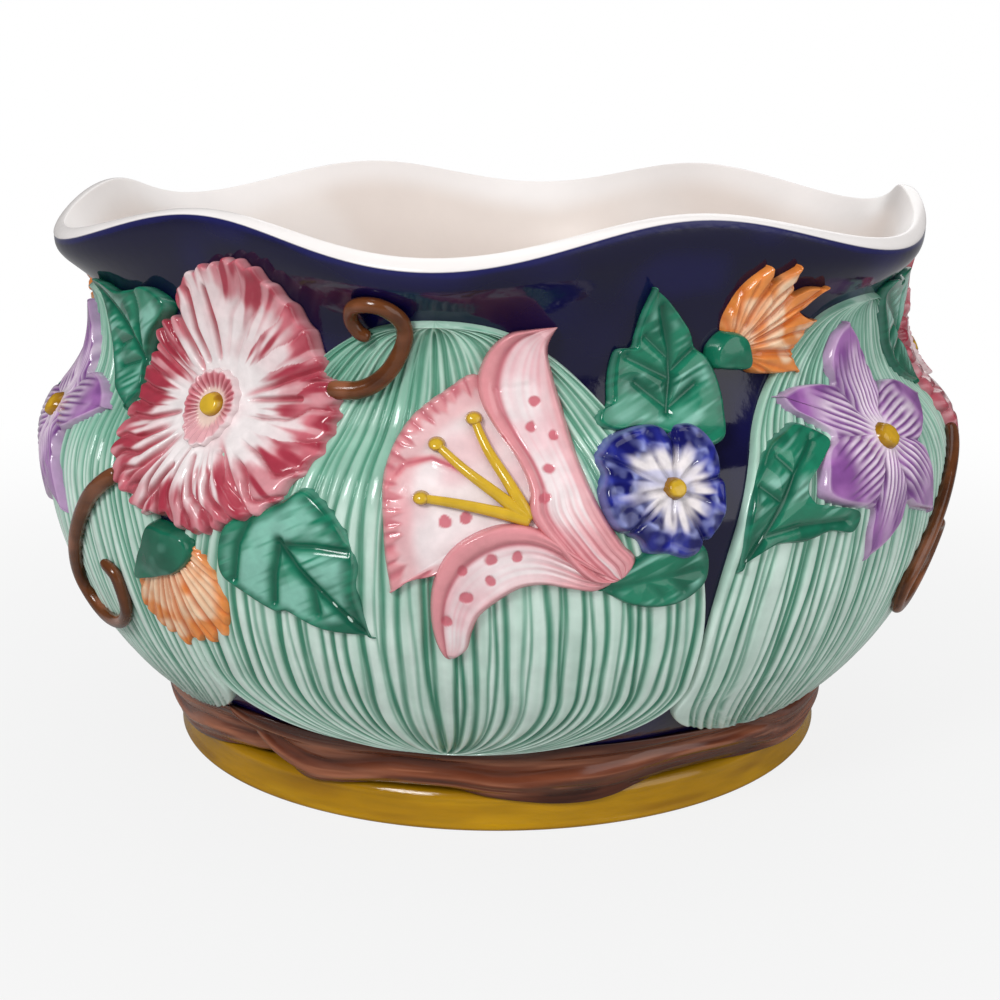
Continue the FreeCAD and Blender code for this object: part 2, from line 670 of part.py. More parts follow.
def ball(place, share, reach, radius, relief):
    """Bead seated half in the sprig's top."""
    u, v = share[0] * reach, share[1] * reach
    bead = Part.makeSphere(radius)
    bead.translate(place.multVec(Vec(u, v, ground(place, u, v) + relief)))
    return bead


def rod(place, a, b, reach, radius, relief):
    ends = []
    for u, v in (a, b):
        u, v = u * reach, v * reach
        ends.append(place.multVec(Vec(u, v, ground(place, u, v) + relief)))
    along = ends[1] - ends[0]
    return Part.makeCylinder(radius, along.Length, ends[0], along)


def ribbon(points, half_width):
    """Closed outline along a curling line, given and returned as shares."""
    curve = Part.BSplineCurve()
    curve.interpolate([Vec(u, v, 0) for u, v in points])
    steps = 3 * len(points)
    sides = {1: [], -1: []}
    for k in range(steps + 1):
        at = curve.FirstParameter + (curve.LastParameter - curve.FirstParameter) * k / steps
        middle, along = curve.value(at), curve.tangent(at)[0]
        taper = half_width * (1 - k / steps / 3)
        for hand in sides:
            point = middle + Vec(-along.y, along.x, 0) * taper * hand
            sides[hand].append((point.x, point.y))
    left, right = sides[1], sides[-1][::-1]
    return [left, [left[-1], right[0]], right, [right[-1], left[0]]]


def star(petals, notch, shoulder, room_share=0.8, point_shares=(0.86, 0.42)):
    """Outline of pointed petals, each given by its angle and length share."""
    runs = []
    count = len(petals)

    def at(angle, share):
        return share * cos(radians(angle)), share * sin(radians(angle))

    for k, (angle, length) in enumerate(petals):
        before, after = petals[k - 1][0], petals[(k + 1) % count][0]
        back = (angle - before) % FULL_TURN / 2
        ahead = (after - angle) % FULL_TURN / 2
        out, wide = shoulder[0] * length, shoulder[1]
        spread = degrees(atan2(wide, out))
        broad = hypot(wide, out)
        left, right = min(spread, back * room_share), min(spread, ahead * room_share)
        near, slim = point_shares[0] * length, point_shares[1]
        runs.append([at(angle - back, notch), at(angle - left, broad)])
        runs.append([at(angle - left, broad), at(angle - left * slim, near), at(angle, length)])
        runs.append([at(angle, length), at(angle + right * slim, near), at(angle + right, broad)])
        runs.append([at(angle + right, broad), at(angle + ahead, notch)])
    return runs


def lobes(count, notch):
    """Outline of rounded lobes of equal size, as shares."""
    runs = []
    for k in range(count):
        a, b = 2 * pi * k / count, 2 * pi * (k + 1) / count
        middle = (a + b) / 2
        ends = [(notch * cos(a), notch * sin(a)), (cos(middle), sin(middle)), (notch * cos(b), notch * sin(b))]
        runs.append(ends)
    return runs


SPOKE_END_SHARE = 1.2


def spokes(notches, centre, start_share):
    """Groove lines from near a centre out through each notch of the outline."""
    lines = []
    for u, v in notches:
        du, dv = u - centre[0], v - centre[1]
        ends = [(centre[0] + du * share, centre[1] + dv * share) for share in (start_share, SPOKE_END_SHARE)]
        lines.append(ends)
    return lines


MIDDLE_SHARE = (0.0, 0.0)
MALLOW_MIDDLE_SHARE = (0.04, 0.0)
MALLOW_COLLAR_SHARE = 0.26
MALLOW_SPOKE_SHARE = 0.4
GLORY_LOBES = 5
GLORY_NOTCH_SHARE = 0.88
GLORY_SPOKE_SHARE = 0.3
CLEMATIS_SPOKE_SHARE = 0.45
CLEMATIS = star(CLEMATIS_PETAL_SHARES, CLEMATIS_NOTCH_SHARE, CLEMATIS_SHOULDER_SHARES)
CLEMATIS_NOTCHES = [run[0] for run in CLEMATIS[::4]]
GLORY = lobes(GLORY_LOBES, GLORY_NOTCH_SHARE)
# Vein grooves of the leaves, each from one point to another.
HEART_VEIN_SHARES = [((-0.30, 0.40), (0.80, -0.60)), ((0.02, 0.10), (0.70, 0.22))]
BACK_LEAF_VEIN_SHARES = [((0.30, -0.12), (-0.50, 0.36))]
IVY_VEIN_SHARES = [((0.12, -0.80), (-0.06, 0.62)), ((0.02, -0.66), (-0.50, -0.10))]
LILY_LEAF_VEIN_SHARES = [((-0.70, -0.10), (0.60, 0.06))]
CLEMATIS_LEAF_VEIN_SHARES = [((-0.60, -0.56), (0.46, 0.42))]


def disc(centre, share):
    """Round outline about a centre, as shares."""
    u, v = centre
    return [[(u - share, v), (u, v + share), (u + share, v)], [(u + share, v), (u, v - share), (u - share, v)]]


# Each sprig from the topmost down: outline, relief, raised pads, grooves, beads and rods.
SPRIGS = [
    dict(name="mallow_flower", key="mallow", runs=MALLOW_SHARES, relief="petal_relief",
         pads=[(disc(MALLOW_MIDDLE_SHARE, MALLOW_COLLAR_SHARE), "crown_relief")],
         grooves=spokes([run[0] for run in MALLOW_SHARES], MALLOW_MIDDLE_SHARE, MALLOW_SPOKE_SHARE),
         beads=[(MALLOW_MIDDLE_SHARE, "mallow_eye", "crown_relief")]),
    dict(name="morning_glory", key="glory", runs=GLORY, relief="petal_relief",
         grooves=spokes([run[0] for run in GLORY], MIDDLE_SHARE, GLORY_SPOKE_SHARE),
         beads=[(MIDDLE_SHARE, "glory_eye", "petal_relief")]),
    dict(name="lily_flower", key="lily", runs=LILY_SHARES, relief="leaf_relief",
         pads=[(LILY_UPPER_SHARES, "crown_relief"), (LILY_LOWER_SHARES, "petal_relief")],
         beads=[(share, "anther_radius", "leaf_relief") for share in LILY_ANTHER_SHARES],
         rods=[(LILY_THROAT_SHARE, share, "stamen_radius", "leaf_relief") for share in LILY_ANTHER_SHARES]),
    dict(name="top_bud", key="top_bud", runs=TOP_BUD_SHARES, relief="leaf_relief",
         pads=[(TOP_CALYX_SHARES, "petal_relief")]),
    dict(name="low_bud", key="low_bud", runs=LOW_BUD_SHARES, relief="leaf_relief",
         pads=[(LOW_CALYX_SHARES, "petal_relief")]),
    dict(name="clematis_flower", key="clematis", runs=CLEMATIS, relief="petal_relief",
         grooves=spokes(CLEMATIS_NOTCHES, MIDDLE_SHARE, CLEMATIS_SPOKE_SHARE),
         beads=[(MIDDLE_SHARE, "clematis_eye", "leaf_relief")]),
    dict(name="upper_tendril", key="upper_tendril", ribbon=UPPER_TENDRIL_SHARES, relief="petal_relief"),
    dict(name="lower_tendril", key="lower_tendril", ribbon=LOWER_TENDRIL_SHARES, relief="petal_relief"),
    dict(name="heart_leaf", key="heart", runs=HEART_SHARES, relief="leaf_relief",
         grooves=HEART_VEIN_SHARES),
    dict(name="back_leaf", key="back_leaf", runs=BACK_LEAF_SHARES, relief="leaf_relief",
         grooves=BACK_LEAF_VEIN_SHARES),
    dict(name="ivy_leaf", key="ivy", runs=IVY_SHARES, relief="leaf_relief",
         grooves=IVY_VEIN_SHARES),
    dict(name="lily_leaf", key="lily_leaf", runs=LILY_LEAF_SHARES, relief="leaf_relief",
         grooves=LILY_LEAF_VEIN_SHARES),
    dict(name="clematis_leaf", key="clematis_leaf", runs=CLEMATIS_LEAF_SHARES, relief="leaf_relief",
         grooves=CLEMATIS_LEAF_VEIN_SHARES),
]


def apart(a, b):
    """True where the boxes of two shapes don't meet."""
    return not a.BoundBox.intersect(b.BoundBox)


def largest(shape):
    return max(shape.Solids, key=lambda s: s.Volume)


def turned_copy(shape, turn):
    copy = shape.copy()
    copy.rotate(AXIS, UP, turn)
    return copy


def sprig_shapes(layers, low_layers, panels):
    """Finished solid of each sprig, in its first place."""
    period = FULL_TURN / size("sprig_copies")
    done = []
    shapes = {}
    for spec in SPRIGS:
        place, reach = site(spec["key"]), size(f"{spec['key']}_reach")
        runs = spec.get("runs") or ribbon(spec["ribbon"], size("tendril_width") / reach / 2)
        block = prism(place, runs, reach)
        relief = spec["relief"]
        body = block.common(layers[relief])
        cuts = [groove(place, a, b, reach).cut(low_layers[relief]) for a, b in spec.get("grooves", [])]
        if cuts:
            body = body.cut(cuts)
        added = []
        for pad, pad_relief in spec.get("pads", []):
            added.append(prism(place, pad, reach).common(layers[pad_relief]))
        for share, radius, top in spec.get("beads", []):
            added.append(ball(place, share, reach, size(radius), size(top)))
        for a, b, radius, top in spec.get("rods", []):
            added.append(rod(place, a, b, reach, size(radius), size(top)))
        if added:
            body = body.fuse(added).removeSplitter()
        body = body.cut([layers["bare"]])
        body = body.cut([p for p in panels if not apart(p, body)])
        over = []
        for other in done:
            for turn in (-period, 0, period):
                near = turned_copy(other, turn)
                if not apart(near, body):
                    over.append(near)
        if over:
            body = body.cut(over)
        shapes[spec["name"]] = largest(body)
        done.append(block.common(layers["reach"]))
    return shapes


def feature(label, shape, turn):
    piece = doc.addObject("Part::Feature", label)
    piece.Shape = shape
    piece.Placement = FreeCAD.Placement(AXIS, FreeCAD.Rotation(UP, turn))
    piece.Label = label
    return piece


def main():
    wall_body = bowl_wall()
    nodes = [bowl_body(wall_body), foot_ring()]
    reliefs = {alias: size(alias) for alias in ("leaf_relief", "petal_relief", "crown_relief")}
    layers = {alias: filled(value) for alias, value in reliefs.items()}
    layers["bare"] = filled(0)
    layers["reach"] = filled(2 * size("crown_relief"))
    low_layers = {alias: filled(value - size("groove_depth")) for alias, value in reliefs.items()}

    panel = largest(panel_blank(int(size("pleats")), size("pleat_depth"), size("panel_thick")).cut(layers["bare"]))
    cover = panel_blank(int(size("pleats")), 0, size("panel_thick") + size("seat_gap"))
    step = FULL_TURN / size("rim_waves")
    covers = [turned_copy(cover, step * k) for k in range(int(size("rim_waves")))]
    for k in range(int(size("rim_waves"))):
        nodes.append(feature(f"fan_leaf_{k + 1}", panel, step * k))

    copies = int(size("sprig_copies"))
    period = FULL_TURN / copies
    branch = largest(branch_blank().cut([layers["bare"]] + covers))
    for k in range(copies):
        nodes.append(feature(f"bark_branch_{k + 1}", branch, period * k))
    for name, shape in sprig_shapes(layers, low_layers, covers).items():
        for k in range(copies):
            nodes.append(feature(f"{name}_{k + 1}", shape, period * k))
    doc.recompute()

    for item in doc.Objects:
        if "Invalid" in item.State or "Error" in item.State:
            raise RuntimeError(f"{item.Label} failed: {item.State}")
    for node in nodes:
        if node.Shape.isNull() or not node.Shape.isValid():
            raise RuntimeError(f"{node.Label} has no valid shape")
    os.makedirs("parts", exist_ok=True)
    for node in nodes:
        node.Shape.exportStep(f"parts/{node.Label}.step")
        print(node.Label, len(node.Shape.Solids), round(node.Shape.Volume))


main()
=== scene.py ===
"""Looks of the ceramic bowl planter: modelled, hand-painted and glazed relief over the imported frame.

Shapes are worked out in millimetres. Angles round the bowl are counted from the front (-Y) towards the
right (+X). Each sprig is drawn on the plane that touches the bowl at the sprig's middle, with u to the
right and v up, and is then dropped onto the bowl. Its paint is worked out with its shape and is kept in
the mesh's colour attribute, which the glaze material reads.
"""
from math import cos, pi, radians, sin
import bpy
import numpy as np
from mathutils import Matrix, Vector


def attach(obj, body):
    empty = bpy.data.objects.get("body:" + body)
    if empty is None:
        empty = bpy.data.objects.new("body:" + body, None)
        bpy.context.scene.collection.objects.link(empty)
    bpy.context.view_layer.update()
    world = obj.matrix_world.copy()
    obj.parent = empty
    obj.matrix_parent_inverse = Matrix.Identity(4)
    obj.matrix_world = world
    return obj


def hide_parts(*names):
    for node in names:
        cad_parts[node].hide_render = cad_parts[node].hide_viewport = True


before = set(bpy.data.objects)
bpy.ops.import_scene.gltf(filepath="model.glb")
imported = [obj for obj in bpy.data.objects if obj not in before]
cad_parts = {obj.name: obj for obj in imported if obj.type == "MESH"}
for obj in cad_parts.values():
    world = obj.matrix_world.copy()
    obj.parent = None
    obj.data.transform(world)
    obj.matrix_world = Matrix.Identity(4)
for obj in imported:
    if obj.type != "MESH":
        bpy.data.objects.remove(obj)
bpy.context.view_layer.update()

MM = 0.001
BODY = "root"
COPIES = 3
WAVES = 6

# Sizes of the bowl, in millimetres, the same as the solids have.
BELLY_R, BELLY_Z = 145.8, 97.0
BASE_R, BASE_Z = 111.0, 24.0
NECK_R, NECK_Z = 128.0, 139.0
RIM_R, RIM_Z = 137.8, 171.8
RIM_OUT, RIM_UP, RIM_TURN = 4.2, 5.6, 23.0
WALL, LIP_WALL, LIP_CROWN, LIP_TURN = 6.0, 4.6, 0.7, 4
FLOOR_Z, SEAT_R, SPIGOT_R, SPIGOT_Z = 18.0, 106.0, 91.8, 10.0
FOOT_R, FOOT_BORE, FOOT_Z, FOOT_ROUND = 109.4, 92.0, 13.0, 4.0
LOW_ARC = ((BELLY_R - BASE_R) ** 2 + (BELLY_Z - BASE_Z) ** 2) / (2 * (BELLY_R - BASE_R))
NECK_ARC = (NECK_Z - BELLY_Z) / np.sin(2 * np.arctan((BELLY_R - NECK_R) / (NECK_Z - BELLY_Z))) / 2
TURN_Z = (BELLY_Z + NECK_Z) / 2

# Depth that the back of each sprig goes into the bowl's wall, rings in a rolled edge, and where the columns
# lie that close the back of a strip.
ROOT = -0.5
ROLL_RINGS = 7
BACK = np.array([[0.5, 0.0, -0.5]])
# Shares of the way out where the rings lie that close the back of a dome.
DOME_BACK = np.array([[0.7], [0.35], [0.0]])
# Share of a shell's strip in the map that is left free above and below it.
MAP_MARGIN = 0.01
# Cells in the table of random values.
GRAIN_CELLS = (97, 89)


def tone(red, green, blue):
    """A display colour from 0 to 255 as the linear colour that shaders use."""
    c = np.array([red, green, blue]) / 255
    return np.where(c <= 0.04045, c / 12.92, ((c + 0.055) / 1.055) ** 2.4)


WHITE = tone(238, 230, 230)
COBALT, COBALT_LIT, COBALT_THIN_AND_LIT = tone(11, 9, 46), tone(18, 16, 78), tone(22, 24, 96)
CREAM, CREAM_PALE, LIP_WHITE = tone(226, 215, 208), tone(232, 224, 219), tone(238, 233, 231)
MINT, MINT_PALE = tone(160, 202, 182), tone(218, 238, 228)
MINT_DEEP, MINT_WASH = tone(42, 130, 100), tone(116, 176, 152)
OCHRE, OCHRE_DARK, OCHRE_PALE = tone(178, 130, 2), tone(150, 104, 2), tone(194, 146, 10)
FOOT_PAINTED_SHADE, FOOT_WORN = tone(96, 70, 14), tone(214, 196, 150)
BARK, BARK_DARK, BARK_PALE = tone(120, 60, 36), tone(54, 24, 15), tone(176, 112, 82)
TENDRIL = tone(104, 58, 28)
BLUSH, ROSE, ROSE_DEEP = tone(226, 170, 176), tone(204, 100, 114), tone(160, 42, 62)
PINK, PINK_DEEP = tone(222, 144, 150), tone(190, 92, 106)
PETAL_WHITE, PETAL_BLUSH = tone(242, 228, 229), tone(234, 188, 194)
PEACH = tone(236, 208, 196)
YELLOW, YELLOW_DEEP, YELLOW_DULL = tone(212, 172, 46), tone(150, 104, 12), tone(206, 160, 34)
LEAF, LEAF_DEEP, LEAF_PALE = tone(26, 124, 94), tone(6, 80, 60), tone(142, 202, 184)
BLUE, BLUE_DEEP, BLUE_PALE = tone(42, 50, 154), tone(14, 16, 92), tone(150, 158, 216)
STAR_LINE = tone(150, 146, 150)
VIOLET, VIOLET_DEEP, VIOLET_PALE = tone(166, 106, 178), tone(108, 54, 128), tone(252, 238, 248)
ORANGE, ORANGE_DEEP, ORANGE_PALE = tone(238, 146, 72), tone(206, 96, 30), tone(250, 216, 180)


# Small helpers for shapes and paint.
def ramp(low, high, x):
    """Smooth step from 0 at low to 1 at high."""
    t = np.clip((x - low) / (high - low), 0, 1)
    return t * t * (3 - 2 * t)


def mix(a, b, share):
    """Paint a covered by paint b, by a share at each point."""
    share = np.clip(share, 0, 1)[..., None]
    return a * (1 - share) + b * share


def coats(paint, *layers):
    """Paint under further coats, each of them a paint with its share at each point."""
    for layer, share in layers:
        paint = mix(paint, layer, share)
    return paint


def grain(x, y, size, seed, cells=GRAIN_CELLS[0]):
    """Smooth random field from 0 to 1 with spots about one size across; it repeats after some cells."""
    table = np.random.default_rng(seed).random(GRAIN_CELLS)
    x, y = x / size + 31, y / size + 47
    i, j = np.floor(x).astype(int), np.floor(y).astype(int)
    fx, fy = ramp(0, 1, x - i), ramp(0, 1, y - j)
    near, far = i % cells, (i + 1) % cells
    under, above = j % GRAIN_CELLS[1], (j + 1) % GRAIN_CELLS[1]
    low = table[near, under] * (1 - fx) + table[far, under] * fx
    high = table[near, above] * (1 - fx) + table[far, above] * fx
    return low * (1 - fy) + high * fy


def ring_grain(angle, y, size, cells, seed):
    """Random field that closes round the bowl, with a number of cells in a full turn."""
    return grain(angle * cells * size / (2 * pi), y, size, seed, cells)


def line_gap(u, v, points):
    """Distance to a run of straight stretches."""
    best = np.full(np.shape(u), 1e9)
    for (au, av), (bu, bv) in zip(points, points[1:]):
        du, dv = bu - au, bv - av
        t = np.clip(((u - au) * du + (v - av) * dv) / (du * du + dv * dv), 0, 1)
        best = np.minimum(best, np.hypot(u - au - t * du, v - av - t * dv))
    return best


def bump(x, width):
    """Rounded ridge or groove of height 1 where x is a distance from its line."""
    return np.exp(-((x / width) ** 2))


def catmull(points, steps):
    """Dense smooth line through points that are padded by one at each end."""
    points = np.array(points, float)
    t = np.linspace(0, 1, steps, endpoint=False)[:, None]
    parts = []
    for a, b, c, d in zip(points, points[1:], points[2:], points[3:]):
        parts.append(b + t * (c - a) / 2 + t ** 2 * (a - 2.5 * b + 2 * c - d / 2)
                     + t ** 3 * (1.5 * (b - c) + (d - a) / 2))
    return np.vstack(parts)


def spread(line, count, closed):
    """Points at even steps along a dense line."""
    if closed:
        line = np.vstack([line, line[:1]])
    length = np.concatenate([[0], np.cumsum(np.hypot(*np.diff(line[:, :2], axis=0).T))])
    at = np.linspace(0, length[-1], count, endpoint=not closed)
    return np.stack([np.interp(at, length, line[:, k]) for k in range(line.shape[1])], axis=1)


def closed_curve(points, count):
    """Closed outline through points, counted anticlockwise; a point given twice is a corner."""
    x, y = np.array(points, float).T
    if np.sum(x * np.roll(y, -1) - np.roll(x, -1) * y) < 0:
        points = points[::-1]
    return spread(catmull([points[-1], *points, points[0], points[1]], 16), count, True)


def open_curve(points, count):
    line = catmull([points[0], *points, points[-1]], 16)
    return spread(np.vstack([line, [points[-1]]]), count, False)


# The bowl's outside.
def rim(angle):
    wave = np.cos(WAVES * (angle - radians(RIM_TURN)))
    return RIM_R - RIM_OUT * wave, RIM_Z + RIM_UP * wave


def flare(share):
    """Share of its run that the lip's outside has turned out by, at a share of its rise."""
    return 1 - (1 - share ** LIP_TURN) ** LIP_TURN


def outside(angle, z):
    """Radius of the bowl's outside at an angle and height."""
    sunk = np.clip(BELLY_Z - z, 0, BELLY_Z - BASE_Z)
    low = BELLY_R - LOW_ARC + np.sqrt(np.maximum(LOW_ARC ** 2 - sunk ** 2, 0))
    shoulder = BELLY_R - NECK_ARC + np.sqrt(np.maximum(NECK_ARC ** 2 - (z - BELLY_Z) ** 2, 0))
    neck = NECK_R + NECK_ARC - np.sqrt(np.maximum(NECK_ARC ** 2 - (NECK_Z - z) ** 2, 0))
    edge_r, edge_z = rim(angle)
    lip = NECK_R + (edge_r - NECK_R) * flare(np.clip((z - NECK_Z) / (edge_z - NECK_Z), 0, 1))
    return np.where(z < BELLY_Z, low, np.where(z < TURN_Z, shoulder, np.where(z < NECK_Z, neck, lip)))


def polar(angle, r, z):
    angle, r, z = np.broadcast_arrays(angle, r, z)
    return np.stack([r * np.sin(angle), -r * np.cos(angle), z], axis=-1)


def slope(angle, z):
    """Outward normal of the bowl's outside, as its radial and its upright share."""
    step = 0.2
    rate = (outside(angle, z + step) - outside(angle, z - step)) / (2 * step)
    length = np.sqrt(1 + rate ** 2)
    return 1 / length, -rate / length


def over(angle, z, height):
    """Point at a height over the bowl's outside."""
    out, up = slope(angle, z)
    return polar(angle, outside(angle, z) + height * out, z + height * up)


# Rounds of the search for the bowl under a plane, and the share of the gap that each round closes.
DROP_ROUNDS, DROP_SHARE = 12, 0.85
# How far up and down a sprig feels for a hollow, and the share of the hollow that it bridges.
BRIDGE_REACH, BRIDGE_SHARE = 7, 0.25


class Site:
    """Plane that touches the bowl at a sprig's middle."""

    def __init__(self, angle, z, tilt):
        a, t = radians(angle), radians(tilt)
        radial, upward = np.array([sin(a), -cos(a), 0]), np.array([0, 0, 1.0])
        self.right = np.array([cos(a), sin(a), 0])
        self.up = upward * cos(t) - radial * sin(t)
        self.out = radial * cos(t) + upward * sin(t)
        self.base = radial * outside(a, z) + upward * z

    def drop(self, u, v):
        """Height of the bowl over the plane."""
        w = np.zeros(np.shape(u))
        flat = self.base + u[..., None] * self.right + v[..., None] * self.up
        for _ in range(DROP_ROUNDS):
            p = flat + w[..., None] * self.out
            r = np.hypot(p[..., 0], p[..., 1])
            w = w - DROP_SHARE * (r - outside(np.arctan2(p[..., 0], -p[..., 1]), p[..., 2]))
        return w

    def lift(self, u, v, height):
        """Points over the bowl; a sprig bridges the hollow of the neck."""
        bare = self.drop(u, v)
        eased = (self.drop(u, v - BRIDGE_REACH) + self.drop(u, v + BRIDGE_REACH) + 2 * bare) / 4
        bridge = BRIDGE_SHARE * np.maximum(eased - bare, 0)
        w = np.where(height > 0, bare + height + bridge, bare + height)
        return self.base + u[..., None] * self.right + v[..., None] * self.up + w[..., None] * self.out


# Closed shells: a grid of points, its paint, and whether the last row joins the first, as in a ring. In any
# other shell, the first row runs together to a point, and so does the last.
def dome(site, outline, centre, relief, paint, roll=1.6, rings=40):
    """Relief that fills an outline, with a rolled edge."""
    ray = outline - np.array(centre)
    start = 1 - np.minimum(roll / np.hypot(*ray.T), 0.5)
    turn = np.linspace(0, pi / 2, ROLL_RINGS + 1)[1:, None]
    rho = np.vstack([np.linspace(0, 1, rings + 1)[:, None] * start, start + (1 - start) * np.sin(turn)])
    fall = np.vstack([np.ones((rings + 1, len(ray))), np.cos(turn) * np.ones(len(ray))])
    u, v = centre[0] + rho * ray[:, 0], centre[1] + rho * ray[:, 1]
    height = ROOT + (relief(rho, u, v) - ROOT) * fall
    tint = paint(rho, u, v)
    back = DOME_BACK * np.ones(len(ray))
    u = np.vstack([u, centre[0] + back * ray[:, 0]])
    v = np.vstack([v, centre[1] + back * ray[:, 1]])
    height = np.vstack([height, np.full(back.shape, ROOT)])
    tint = np.concatenate([tint, np.repeat(tint[-1:], len(back), axis=0)])
    return site.lift(u, v, height), tint, False


def rolled(start, inner):
    """Places across a strip whose edges roll over from a start, and the share of its height at each."""
    turn = np.linspace(0, pi / 2, ROLL_RINGS + 1)[None, 1:]
    side = start + (1 - start) * np.sin(turn)
    edge = np.cos(turn) * np.ones(start.shape)
    t = np.hstack([-side[:, ::-1], inner * start, side])
    return t, np.hstack([edge[:, ::-1], np.ones((len(start), len(inner))), edge])


def backed(tint):
    """Paint of a strip, with the first column's colour on the columns at its back."""
    return np.concatenate([tint, np.repeat(tint[:, :1], BACK.shape[1], axis=1)], axis=1)


def blade(site, left, right, relief, paint, roll=1.6, rows=120, columns=36):
    """Relief between two edges that meet at both ends; s runs along it and t from edge to edge."""
    left, right = open_curve(left, rows), open_curve(right, rows)
    middle, half = (left + right) / 2, (right - left) / 2
    width = np.maximum(np.hypot(*half.T), 1e-6)[:, None]
    t, fall = rolled(1 - np.minimum(roll / width, 0.6), np.linspace(-1, 1, columns))
    fall = fall * np.sqrt(np.clip(width / roll / 1.5, 0, 1))
    s = np.linspace(0, 1, rows)[:, None] * np.ones(t.shape)
    u, v = middle[:, :1] + t * half[:, :1], middle[:, 1:] + t * half[:, 1:]
    height = ROOT + (relief(s, t, u, v) - ROOT) * fall
    tint = backed(paint(s, t, u, v))
    back = BACK * np.ones((rows, 1))
    u = np.hstack([u, middle[:, :1] + back * half[:, :1]])
    v = np.hstack([v, middle[:, 1:] + back * half[:, 1:]])
    height = np.hstack([height, np.full(back.shape, ROOT)])
    return site.lift(u, v, height), tint, False


def tube(site, path, thick, paint, flat=0.8, rows=90, sides=18):
    """Round strand along a path of (u, v, height); thick gives its radius along s."""
    line = open_curve(path, rows)
    points = site.lift(line[:, 0], line[:, 1], line[:, 2])
    along = np.gradient(points, axis=0)
    along /= np.linalg.norm(along, axis=1)[:, None]
    side = np.cross(along, site.out)
    side /= np.linalg.norm(side, axis=1)[:, None]
    rise = np.cross(side, along)
    s, angle = np.linspace(0, 1, rows)[:, None], np.linspace(0, 2 * pi, sides, endpoint=False)[None]
    radius = thick(s) * np.sqrt(np.clip(1 - (2 * s - 1) ** 40, 0, 1))
    ring = side[:, None] * (radius * np.cos(angle))[..., None]
    ring = ring + rise[:, None] * (flat * radius * np.sin(angle))[..., None]
    return points[:, None] + ring, paint(s * np.ones(angle.shape), angle * np.ones(s.shape)), False


def bead(site, middle, size, height, paint, count=48):
    """Small raised knob."""
    turn = np.linspace(0, 2 * pi, count, endpoint=False)
    outline = np.stack([middle[0] + size[0] * np.cos(turn), middle[1] + size[1] * np.sin(turn)], axis=1)
    return dome(site, outline, middle, height, paint, roll=min(size) * 0.45, rings=12)


def knob(top, fall):
    """Relief of a bead that is round from its top to its edge."""
    return lambda rho, u, v: top - fall * rho ** 2


def shell_mesh(name, shells):
    """One mesh from closed shells, with its paint and a map of its own."""
    points, tints, triangles, quads, tri_maps, quad_maps = [], [], [], [], [], []
    first, floor = 0, 0.0
    total = sum(grid.shape[0] * grid.shape[1] for grid, _, _ in shells)
    for grid, tint, ring in shells:
        rows, cols = grid.shape[:2]
        tall = rows * cols / total
        if ring:
            index = first + np.arange(rows * cols).reshape(rows, cols)
        else:
            index = first + 1 + np.arange(-cols, (rows - 1) * cols).reshape(rows, cols)
            index[0], index[-1] = first, first + 1 + (rows - 2) * cols
        for kept, values in ((points, grid), (tints, tint)):
            listed = values.reshape(-1, values.shape[-1])
            if ring:
                kept.append(listed)
            else:
                kept += [values[0].mean(0)[None], listed[cols:-cols], values[-1].mean(0)[None]]
        first = index.max() + 1
        bands = rows if ring else rows - 1
        i, j = np.meshgrid(np.arange(bands), np.arange(cols), indexing="ij")
        corners = [(i, j), (i + 1, j), (i + 1, j + 1), (i, j + 1)]
        ids = np.stack([index[a % rows, b % cols] for a, b in corners], axis=-1)
        inner = 1 - 2 * MAP_MARGIN
        heights = [floor + tall * (MAP_MARGIN + inner * a / bands) for a, _ in corners]
        maps = np.stack([np.stack([b / cols, h], -1) for (_, b), h in zip(corners, heights)], axis=-2)
        flat = np.vstack(points)
        a, b, c, d = (flat[ids[..., k].ravel()] for k in range(4))
        volume = np.sum(a * np.cross(b, c)) + np.sum(a * np.cross(c, d))
        order = [0, 1, 2, 3] if volume > 0 else [0, 3, 2, 1]
        if ring:
            quads.append(ids[..., order].reshape(-1, 4))
            quad_maps.append(maps[..., order, :].reshape(-1, 4, 2))
        else:
            for band, keep in ((0, (0, 1, 2)), (-1, (0, 1, 3))):
                turn = list(keep) if volume > 0 else list(keep)[::-1]
                triangles.append(ids[band][:, turn])
                tri_maps.append(maps[band][:, turn])
            quads.append(ids[1:-1][..., order].reshape(-1, 4))
            quad_maps.append(maps[1:-1][..., order, :].reshape(-1, 4, 2))
        floor += tall
    points, tints = np.vstack(points) * MM, np.vstack(tints)
    triangles = np.vstack(triangles) if triangles else np.zeros((0, 3), int)
    quads = np.vstack(quads)
    loops = np.concatenate([triangles.ravel(), quads.ravel()])
    maps = np.concatenate([np.reshape(m, (-1, 2)) for m in tri_maps + quad_maps])
    starts = np.concatenate([np.arange(len(triangles)) * 3, len(triangles) * 3 + np.arange(len(quads)) * 4])
    mesh = bpy.data.meshes.new(name)
    mesh.vertices.add(len(points))
    mesh.vertices.foreach_set("co", points.ravel())
    mesh.loops.add(len(loops))
    mesh.loops.foreach_set("vertex_index", loops.astype(np.int32))
    mesh.polygons.add(len(starts))
    mesh.polygons.foreach_set("loop_start", starts.astype(np.int32))
    mesh.update(calc_edges=True)
    mesh.polygons.foreach_set("use_smooth", np.ones(len(starts), bool))
    layer = mesh.attributes.new("paint", "FLOAT_COLOR", "POINT")
    if tints.shape[1] == 3:
        tints = np.hstack([tints, np.ones((len(tints), 1))])
    layer.data.foreach_set("color", tints.ravel())
    mesh.uv_layers.new(name="OFBake").data.foreach_set("uv", maps.ravel())
    mesh.validate()
    return mesh


def piece(node, shells, slot):
    """Finished piece that stands for one solid."""
    made = bpy.data.objects.new("glazed_" + node, shell_mesh("glazed_" + node, shells))
    bpy.context.collection.objects.link(made)
    made.data.materials.append(GLAZES[slot])
    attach(made, BODY)
    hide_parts(node)


